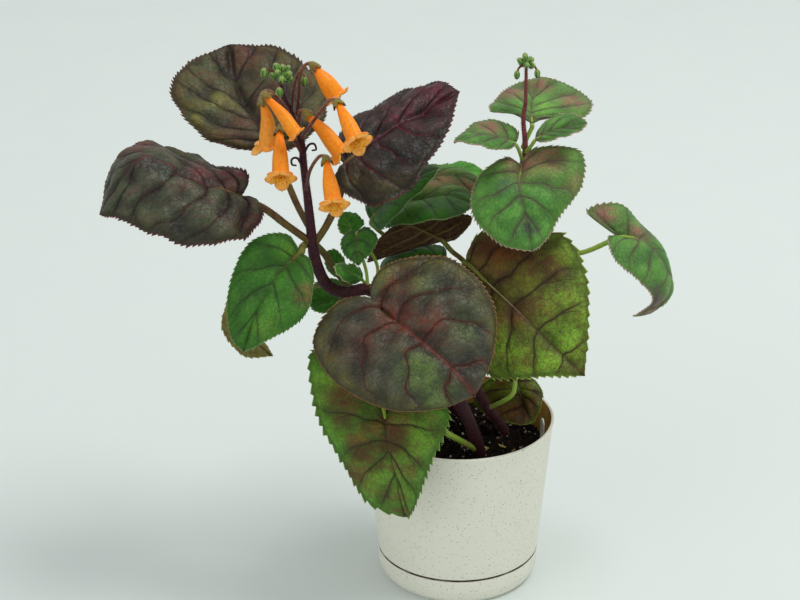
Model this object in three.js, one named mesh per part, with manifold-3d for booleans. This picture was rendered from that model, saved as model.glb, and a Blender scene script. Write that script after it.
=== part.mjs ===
// Potted smithiantha: a velvety flowering plant in an off-white pot with a snap-on saucer.
// Millimetres, +Z up. The origin is the centre of the flat underside. -Y is the front.

import * as THREE from 'three';
import { mergeVertices } from 'three/addons/utils/BufferGeometryUtils.js';
import Module from 'manifold-3d';

const wasm = await Module();
wasm.setup();

// Driving dimensions: pot and saucer
const POT_RIM_RADIUS = 54;
const POT_HEIGHT = 98;
const POT_WALL = 1.6;
const SEAM_HEIGHT = 15.7;
const SEAM_GAP = 0.8;
const SEAM_RADIUS = 46.2;
const SAUCER_FOOT_RADIUS = 42.5;
const SAUCER_FLOOR = 2.0;
const SAUCER_WALL = 2.0;
const SAUCER_BEND_HEIGHT = 3.2;
const POT_FLOOR = 2.0;
const RIM_LIP = 0.6;
const RIM_LIP_HEIGHT = 3;
const FOOT_INSET = 3.8;
const FOOT_STEP = 4;
const DRAIN_HOLE_RADIUS = 4;
const DRAIN_HOLES = 4;
const DRAIN_CIRCLE_RADIUS = 24;
const ROUND_STEPS = 28;

// Driving dimensions: soil and label
const SOIL_HEIGHT = 88;
const SOIL_EDGE_DROP = 8;
const SOIL_ROUGHNESS = 1.2;
const SOIL_RINGS = [1, 0.78, 0.45];
const SOIL_LUMPS = 5;
const LABEL_WIDTH = 6;
const LABEL_THICKNESS = 0.8;
const LABEL_HEIGHT = 25;
const LABEL_POINT = 8;
const LABEL_PLACE = [47.5, -2, 72];
const LABEL_TURN = 1.8;

// Driving dimensions: plant
const STEM_RADIUS = 3.2;
const SPIKE_RADIUS = 2.2;
const SHOOT_RADIUS = 1.5;
const BLADE_THICKNESS = 0.9;
const TOOTH_HEIGHT = 1.4;
const TOOTH_FADE = 4;
const CLEARANCE = 0.3;

// A small seeded generator, so that the model is the same each time
function seeded(seed) {
  let state = seed;
  return () => {
    state = (state * 1664525 + 1013904223) % 4294967296;
    return state / 4294967296;
  };
}

const vec = (p) => new THREE.Vector3(p[0], p[1], p[2]);

function curveThrough(points) {
  return new THREE.CatmullRomCurve3(points.map((p) => (p.isVector3 ? p : vec(p))), false, 'catmullrom', 0.5);
}

// Closed solids. Steps smaller than this are smoothed away.
const SMALLEST_STEP = 0.05;

function closedGeometry(positions, indices) {
  const geometry = new THREE.BufferGeometry();
  geometry.setAttribute('position', new THREE.Float32BufferAttribute(positions, 3));
  geometry.setIndex(indices);
  return geometry;
}

function toSolid(geometry) {
  const bare = geometry.clone();
  bare.deleteAttribute('normal');
  bare.deleteAttribute('uv');
  const merged = mergeVertices(bare, 1e-4);
  const mesh = new wasm.Mesh({
    numProp: 3,
    vertProperties: new Float32Array(merged.attributes.position.array),
    triVerts: new Uint32Array(merged.index.array),
  });
  return new wasm.Manifold(mesh);
}

// Keeps the largest body, so a scrap that a cut leaves is dropped
function toGeometry(solid) {
  const bodies = solid.decompose();
  bodies.sort((a, b) => b.volume() - a.volume());
  const mesh = bodies[0].simplify(SMALLEST_STEP).getMesh();
  return closedGeometry(Array.from(mesh.vertProperties), Array.from(mesh.triVerts));
}

function fuse(solids) {
  return solids.reduce((sum, next) => sum.add(next));
}

// A tube through points, with a radius at each, closed by a fan at both ends
function taperedTube(points, radii, sides, steps) {
  const curve = curveThrough(points);
  const positions = [];
  const indices = [];
  let side = new THREE.Vector3(0.31, 0.87, 0.38);
  for (let i = 0; i <= steps; i += 1) {
    const t = i / steps;
    const centre = curve.getPoint(t);
    const along = curve.getTangent(t);
    side = side.clone().addScaledVector(along, -side.dot(along)).normalize();
    const other = new THREE.Vector3().crossVectors(along, side);
    const place = t * (radii.length - 1);
    const low = Math.min(Math.floor(place), radii.length - 2);
    const radius = THREE.MathUtils.lerp(radii[low], radii[low + 1], place - low);
    for (let k = 0; k < sides; k += 1) {
      const angle = (2 * Math.PI * k) / sides;
      const p = centre.clone()
        .addScaledVector(side, radius * Math.cos(angle))
        .addScaledVector(other, radius * Math.sin(angle));
      positions.push(p.x, p.y, p.z);
    }
  }
  for (let i = 0; i < steps; i += 1) {
    for (let k = 0; k < sides; k += 1) {
      const a = i * sides + k;
      const b = i * sides + ((k + 1) % sides);
      indices.push(a, b, b + sides, a, b + sides, a + sides);
    }
  }
  const start = curve.getPoint(0);
  const end = curve.getPoint(1);
  const first = positions.length / 3;
  positions.push(start.x, start.y, start.z, end.x, end.y, end.z);
  const last = steps * sides;
  for (let k = 0; k < sides; k += 1) {
    const next = (k + 1) % sides;
    indices.push(first, next, k);
    indices.push(first + 1, last + k, last + next);
  }
  return closedGeometry(positions, indices);
}

// Leaves
// A leaf is a sheet between its midrib and its two margins. Each margin runs from the base,
// where the petiole joins, round the basal lobe and on to the tip. Rows join midrib and margin
// as the side veins do, and sweep forward. Left and right are as seen from above, looking from
// the base to the tip.

const ROW_SWEEP = 2;
const TEETH_PER_ROW = 2;
const MARGIN_STEPS = TEETH_PER_ROW * 2;
const INNER_COLUMNS = [0.62];

function bladeSheet(leaf) {
  const base = leaf.midrib[0];
  const tip = leaf.midrib[leaf.midrib.length - 1];
  const midrib = curveThrough(leaf.midrib);
  const margins = [leaf.right, leaf.left].map((side) => curveThrough([base, ...side, tip]));
  const across = margins[0].getPoint(0.5).sub(margins[1].getPoint(0.5));
  const up = new THREE.Vector3().crossVectors(across, vec(tip).sub(vec(base))).normalize();

  const points = [];
  const add = (p) => points.push(p) - 1;
  const ribAt = (t) => midrib.getPoint(t ** ROW_SWEEP);
  const rib = [];
  for (let i = 0; i <= leaf.rows; i += 1) {
    rib.push(add(ribAt(i / leaf.rows)));
  }
  const faces = [];
  const edges = [];
  margins.forEach((margin, side) => {
    const push = (a, b, c) => {
      if (a === b || b === c || a === c) {
        return;
      }
      faces.push(side === 0 ? [a, b, c] : [a, c, b]);
    };
    const rows = [];
    for (let i = 0; i <= leaf.rows; i += 1) {
      const t = i / leaf.rows;
      const ends = i === 0 || i === leaf.rows;
      rows.push([rib[i], ...INNER_COLUMNS.map((v) => {
        if (ends) {
          return rib[i];
        }
        const p = ribAt(t).lerp(margin.getPoint(t), v);
        return add(p.addScaledVector(up, leaf.dome * Math.sin(Math.PI * v) * Math.sin(Math.PI * t)));
      })]);
    }
    const rim = [];
    const rimSteps = leaf.rows * MARGIN_STEPS;
    for (let k = 0; k <= rimSteps; k += 1) {
      const t = k / rimSteps;
      if (k === 0 || k === rimSteps) {
        rim.push(rib[k === 0 ? 0 : leaf.rows]);
      } else {
        const p = margin.getPoint(t);
        const outward = p.clone().sub(ribAt(t)).normalize();
        const tooth = k % 2 === 1 ? TOOTH_HEIGHT * Math.min(1, TOOTH_FADE * Math.sin(Math.PI * t)) : 0;
        rim.push(add(p.addScaledVector(outward, tooth)));
      }
    }
    for (let i = 0; i < leaf.rows; i += 1) {
      const here = rows[i];
      const next = rows[i + 1];
      for (let j = 0; j < INNER_COLUMNS.length; j += 1) {
        push(here[j], here[j + 1], next[j + 1]);
        push(here[j], next[j + 1], next[j]);
      }
      const inner = here[INNER_COLUMNS.length];
      const innerNext = next[INNER_COLUMNS.length];
      const half = MARGIN_STEPS / 2;
      for (let k = 0; k < MARGIN_STEPS; k += 1) {
        const a = rim[i * MARGIN_STEPS + k];
        const b = rim[i * MARGIN_STEPS + k + 1];
        push(k < half ? inner : innerNext, a, b);
        if (k === half - 1) {
          push(inner, b, innerNext);
        }
      }
    }
    for (let k = 0; k < rimSteps; k += 1) {
      edges.push(side === 0 ? [rim[k], rim[k + 1]] : [rim[k + 1], rim[k]]);
    }
  });
  return { points, faces, edges, up, midrib };
}

function sheetNormals(points, faces) {
  const normals = points.map(() => new THREE.Vector3());
  faces.forEach(([a, b, c]) => {
    const ab = points[b].clone().sub(points[a]);
    const normal = ab.cross(points[c].clone().sub(points[a]));
    normals[a].add(normal);
    normals[b].add(normal);
    normals[c].add(normal);
  });
  return normals.map((n) => n.normalize());
}

// The sheet gets its thickness along the normals, with the same triangles on both faces
function bladeGeometry(sheet) {
  const normals = sheetNormals(sheet.points, sheet.faces);
  const positions = [];
  [0.5, -0.5].forEach((share) => {
    sheet.points.forEach((p, i) => {
      const q = p.clone().addScaledVector(normals[i], share * BLADE_THICKNESS);
      positions.push(q.x, q.y, q.z);
    });
  });
  const below = sheet.points.length;
  const indices = [];
  sheet.faces.forEach(([a, b, c]) => {
    indices.push(a, b, c, below + a, below + c, below + b);
  });
  sheet.edges.forEach(([a, b]) => {
    indices.push(b, a, below + a, b, below + a, below + b);
  });
  return closedGeometry(positions, indices);
}

const PETIOLE_SIDES = 5;
const FEWEST_PETIOLE_STEPS = 4;
const PETIOLE_RUN_UNDER = 0.14;
const PETIOLE_END_DEPTH = 0.3;
const PETIOLE_BASE_DEPTH = 0.6;
const PETIOLE_END_SHARE = 0.5;

// The petiole joins the blade from below and fades out under the midrib
function leafSolid(leaf) {
  const sheet = bladeSheet(leaf);
  const blade = toSolid(bladeGeometry(sheet));
  const base = vec(leaf.midrib[0]).addScaledVector(sheet.up, -PETIOLE_BASE_DEPTH * leaf.petioleRadius);
  const under = sheet.midrib.getPoint(PETIOLE_RUN_UNDER).addScaledVector(sheet.up, -PETIOLE_END_DEPTH);
  const points = [...leaf.petiole, base, under];
  const radii = points.map(() => leaf.petioleRadius);
  radii[radii.length - 1] = PETIOLE_END_SHARE * leaf.petioleRadius;
  const steps = Math.max(FEWEST_PETIOLE_STEPS, points.length - 1);
  const petiole = toSolid(taperedTube(points, radii, PETIOLE_SIDES, steps));
  return blade.add(petiole);
}

// Blooms
// A corolla is one fused tube that widens from its base and flares into five rounded lobes.
// Its outer face runs from base to lobe edge, and its inner face back down to the throat's floor.

const LOBES = 5;
const BLOOM_STEPS = 20;
const LOBE_THICKNESS = 0.8;
const TUBE_RINGS = [[0, 1.5], [0.2, 2.9], [0.6, 4.2], [1, 4.5]];
const THROAT_RINGS = [[1, 3.8], [0.45, 2.6]];
const LOBE_ROOT_RADIUS = 4.7;
const LOBE_REACH = 4;
const LOBE_FORWARD = 0.5;
const NOTCH_SHARE = 0.25;
const LOBE_ROUNDNESS = 0.5;
const LIP_SHARE = 0.15;
const LIP_DROP = 3.5;
const BELLY_SHARE = 0.05;
const CALYX_END = 0.3;

function lobeShare(angle) {
  return NOTCH_SHARE + (1 - NOTCH_SHARE) * Math.abs(Math.cos((LOBES * angle) / 2)) ** LOBE_ROUNDNESS;
}

function bloomFrame(bloom, s) {
  const start = vec(bloom.calyx);
  const end = vec(bloom.mouth);
  const along = end.clone().sub(start);
  const length = along.length();
  along.normalize();
  const lip = vec(bloom.lip);
  lip.addScaledVector(along, -lip.dot(along)).normalize();
  const side = new THREE.Vector3().crossVectors(along, lip);
  const belly = -BELLY_SHARE * length * Math.sin(Math.PI * s) ** 2;
  const centre = start.addScaledVector(along, s * length).addScaledVector(lip, belly);
  return { centre, along, lip, side };
}

function corollaGeometry(bloom) {
  const wide = bloom.wide ?? 1;
  const flare = bloom.flare ?? 1;
  const positions = [];
  const rings = [];
  const addRing = (s, radiusAt, forwardAt) => {
    const f = bloomFrame(bloom, s);
    const ring = [];
    for (let k = 0; k < BLOOM_STEPS; k += 1) {
      const angle = (2 * Math.PI * k) / BLOOM_STEPS;
      const radius = radiusAt(angle);
      const p = f.centre.clone()
        .addScaledVector(f.lip, radius * Math.cos(angle))
        .addScaledVector(f.side, radius * Math.sin(angle))
        .addScaledVector(f.along, forwardAt(angle));
      ring.push(positions.push(p.x, p.y, p.z) / 3 - 1);
    }
    rings.push(ring);
  };
  const lobeRadius = (angle) => {
    const lip = 1 + LIP_SHARE * Math.max(0, Math.cos(angle));
    return LOBE_ROOT_RADIUS * wide + LOBE_REACH * flare * lobeShare(angle) * lip;
  };
  const lobeForward = (angle) => {
    const drop = LIP_DROP * flare * Math.max(0, Math.cos(angle)) ** 3;
    return (LOBE_FORWARD + drop) * lobeShare(angle);
  };
  TUBE_RINGS.forEach(([s, radius]) => {
    addRing(s, () => (s > CALYX_END ? radius * wide : radius), () => 0);
  });
  addRing(1, lobeRadius, lobeForward);
  addRing(1, lobeRadius, (angle) => lobeForward(angle) + LOBE_THICKNESS);
  THROAT_RINGS.forEach(([s, radius]) => {
    addRing(s, () => radius * wide, () => (s === 1 ? LOBE_THICKNESS : 0));
  });
  const indices = [];
  for (let r = 0; r + 1 < rings.length; r += 1) {
    for (let k = 0; k < BLOOM_STEPS; k += 1) {
      const next = (k + 1) % BLOOM_STEPS;
      const a = rings[r][k];
      const b = rings[r][next];
      const c = rings[r + 1][next];
      const d = rings[r + 1][k];
      indices.push(a, b, c, a, c, d);
    }
  }
  const ends = [[rings[0], 0, false], [rings[rings.length - 1], THROAT_RINGS[1][0], true]];
  ends.forEach(([ring, s, flip]) => {
    const centre = bloomFrame(bloom, s).centre;
    const middle = positions.push(centre.x, centre.y, centre.z) / 3 - 1;
    for (let k = 0; k < BLOOM_STEPS; k += 1) {
      const next = (k + 1) % BLOOM_STEPS;
      indices.push(middle, ring[flip ? k : next], ring[flip ? next : k]);
    }
  });
  return closedGeometry(positions, indices);
}

// The calyx is a small cup with five pointed sepals, which the corolla's base stands in
const CALYX_STEPS = 10;
const CALYX_RINGS = [[-2.4, 0.8], [-1.2, 1.9], [0.4, 2.6]];
const CALYX_FLOOR_RADIUS = 2;
const SEPAL_VALLEY = { forward: 1.1, radius: 2.9 };
const SEPAL_TIP = { forward: 3.2, radius: 3.6 };
const CALYX_WALL = 0.6;

function calyxGeometry(bloom) {
  const f = bloomFrame(bloom, 0);
  const positions = [];
  const rings = [];
  const addRing = (forwardAt, radiusAt) => {
    const ring = [];
    for (let k = 0; k < CALYX_STEPS; k += 1) {
      const angle = (2 * Math.PI * k) / CALYX_STEPS;
      const radius = radiusAt(k);
      const p = f.centre.clone()
        .addScaledVector(f.lip, radius * Math.cos(angle))
        .addScaledVector(f.side, radius * Math.sin(angle))
        .addScaledVector(f.along, forwardAt(k));
      ring.push(positions.push(p.x, p.y, p.z) / 3 - 1);
    }
    rings.push(ring);
  };
  const edge = (k) => (k % 2 ? SEPAL_VALLEY : SEPAL_TIP);
  CALYX_RINGS.forEach(([forward, radius]) => addRing(() => forward, () => radius));
  addRing((k) => edge(k).forward, (k) => edge(k).radius);
  addRing((k) => edge(k).forward, (k) => edge(k).radius - CALYX_WALL);
  addRing(() => -CLEARANCE, () => CALYX_FLOOR_RADIUS);
  const indices = [];
  for (let r = 0; r + 1 < rings.length; r += 1) {
    for (let k = 0; k < CALYX_STEPS; k += 1) {
      const next = (k + 1) % CALYX_STEPS;
      const a = rings[r][k];
      const b = rings[r][next];
      indices.push(a, b, rings[r + 1][next], a, rings[r + 1][next], rings[r + 1][k]);
    }
  }
  const ends = [[rings[0], CALYX_RINGS[0][0], false], [rings[rings.length - 1], -CLEARANCE, true]];
  ends.forEach(([ring, forward, flip]) => {
    const centre = f.centre.clone().addScaledVector(f.along, forward);
    const middle = positions.push(centre.x, centre.y, centre.z) / 3 - 1;
    for (let k = 0; k < CALYX_STEPS; k += 1) {
      const next = (k + 1) % CALYX_STEPS;
      indices.push(middle, ring[flip ? k : next], ring[flip ? next : k]);
    }
  });
  return closedGeometry(positions, indices);
}

const PEDICEL_RADIUS = 0.9;
const PEDICEL_SIDES = 4;
const PEDICEL_STEPS = 6;
const PEDICEL_DEPTH = 1.8;

function calyxSolid(bloom) {
  const f = bloomFrame(bloom, 0);
  const socket = f.centre.clone().addScaledVector(f.along, -PEDICEL_DEPTH);
  const points = [...bloom.pedicel, socket.toArray()];
  const radii = points.map(() => PEDICEL_RADIUS);
  const stalk = toSolid(taperedTube(points, radii, PEDICEL_SIDES, PEDICEL_STEPS));
  return stalk.add(toSolid(calyxGeometry(bloom)));
}

// Buds
const BUD_SIDES = 5;
const BUD_RINGS = 3;
const BUD_SPREAD = 1.4;
const BUD_LEAN = 0.9;
const BUD_STALK_RADII = [0.7, 0.6, 0.6];
const HEAD_HEIGHT = 1.2;
const HEAD_LOWEST = -0.5;
const HEAD_SPAN = 1.5;
const HEAD_NARROWEST = 0.08;
const CORE_LENGTH = 2.2;
const BUD_LENGTH = 2.6;
const BUD_LEAST = 0.85;
const BUD_VARIES = 0.3;
const HANGING_LENGTH = 3;
const HANGING_WIDTH = 1.05;
const STALK_ARCH_PLACE = 0.75;
const STALK_ARCH_RISE = 2.5;
const STALK_END_RISE = 1;
const BUD_STALK_STEPS = 3;

function budSolid(centre, length, radius, tilt) {
  const bud = new THREE.SphereGeometry(1, BUD_SIDES, BUD_RINGS);
  bud.scale(radius, radius, length / 2);
  bud.rotateX(tilt[0]);
  bud.rotateY(tilt[1]);
  bud.translate(centre[0], centre[1], centre[2]);
  return toSolid(bud);
}

// A rounded head of buds round a core, with a few buds that hang on short stalks below it
function budCluster(spec) {
  const random = seeded(spec.seed);
  const solids = [budSolid(spec.centre, spec.core * CORE_LENGTH, spec.core, [0, 0])];
  const turn = Math.PI * (3 - Math.sqrt(5));
  for (let i = 0; i < spec.count; i += 1) {
    const rise = HEAD_LOWEST + (HEAD_SPAN * (i + 0.5)) / spec.count;
    const ring = Math.sqrt(Math.max(HEAD_NARROWEST, 1 - rise * rise));
    const angle = i * turn;
    const east = ring * Math.cos(angle);
    const north = ring * Math.sin(angle);
    const out = vec([east, north, HEAD_HEIGHT * rise]).multiplyScalar(spec.core * BUD_SPREAD);
    const centre = vec(spec.centre).add(out).toArray();
    const radius = spec.bud * (BUD_LEAST + BUD_VARIES * random());
    solids.push(budSolid(centre, radius * BUD_LENGTH, radius, [-north * BUD_LEAN, east * BUD_LEAN]));
  }
  spec.hanging.forEach((place) => {
    const from = vec(spec.centre);
    const to = vec(place);
    const over = from.clone().lerp(to, STALK_ARCH_PLACE).add(vec([0, 0, STALK_ARCH_RISE]));
    const stalk = [from, over, to.clone().add(vec([0, 0, STALK_END_RISE]))];
    solids.push(toSolid(taperedTube(stalk, BUD_STALK_RADII, PEDICEL_SIDES, BUD_STALK_STEPS)));
    solids.push(budSolid(place, spec.bud * HANGING_LENGTH, spec.bud * HANGING_WIDTH, [0, 0]));
  });
  return fuse(solids);
}

// Colours, and roughness from matt to satin
const PLASTIC = 0xcdcdb9;
const SOIL_BROWN = 0x1c1612;
const LABEL_WHITE = 0xf2f2ee;
const ORANGE = 0xf07d1e;
const CALYX_GREEN = 0x5f5a32;
const BUD_GREEN = 0x6f8f3c;
const YOUNG_GREEN = 0x7f9a4a;
const STEM_WINE = 0x3c1423;
const SHOOT_WINE = 0x46182a;
const MATT = 0.95;
const VELVETY = 0.8;
const PETAL = 0.6;
const SATIN = 0.45;
const BRONZE = 0x3c3c32;
const WINE = 0x4a2c2c;
const GREEN = 0x32732d;
const LIGHT_GREEN = 0x4f8a35;
const OLIVE = 0x5a552d;
const BROWN = 0x5a3a2a;

// Stems: points from the soil up, with the radius at each. The spent stalks are curled remains
// of earlier blooms.
const STEMS = {
  stem_1: {
    points: [[11, -28, 62], [11, -28, 88], [0, -33, 123], [-17, -34, 155], [-34, -32, 178],
      [-50, -30, 190], [-63, -29, 188], [-73, -28, 192], [-79, -27, 205], [-81, -26, 218],
      [-83, -25, 241], [-85, -23, 260], [-86, -22, 273], [-91, -21, 288], [-95, -20, 298],
      [-97, -19, 306]],
    radii: [3.6, 3.8, 3.5, 3.4, 3.3, STEM_RADIUS, STEM_RADIUS, STEM_RADIUS, 3, 2.8, SPIKE_RADIUS, 2,
      1.8, 1.6, 1.3, 1],
    spent: [
      [[-85, -23, 266], [-82, -27, 273], [-79, -28, 274], [-78, -28, 271], [-80, -27, 270]],
      [[-85, -24, 258], [-88, -26, 265], [-91, -27, 265], [-91, -27, 262], [-89, -26, 261]],
    ],
    colour: STEM_WINE,
  },
  stem_2: {
    points: [[29, 2, 62], [26, -2, 88], [15, -3, 106], [9, -4, 120], [7, -4, 147], [8, -4, 178],
      [17, -3, 211], [27, -2, 237], [34, 0, 257], [33, 2, 276], [34, 3, 287], [34, 4, 306]],
    radii: [3, 2.9, 2.9, 2.8, 2.7, 2.5, 2.2, 2, SHOOT_RADIUS, 1.2, 1, 0.8],
    colour: SHOOT_WINE,
  },
  stem_3: {
    points: [[7, 8, 62], [7, 8, 88], [-4, 8, 100], [-17, 12, 127], [-26, 17, 158], [-30, 21, 182],
      [-30, 24, 198]],
    radii: [2.4, 2.4, 2.3, 2.2, 2, 1.8, 1.4],
    colour: SHOOT_WINE,
  },
};

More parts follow.
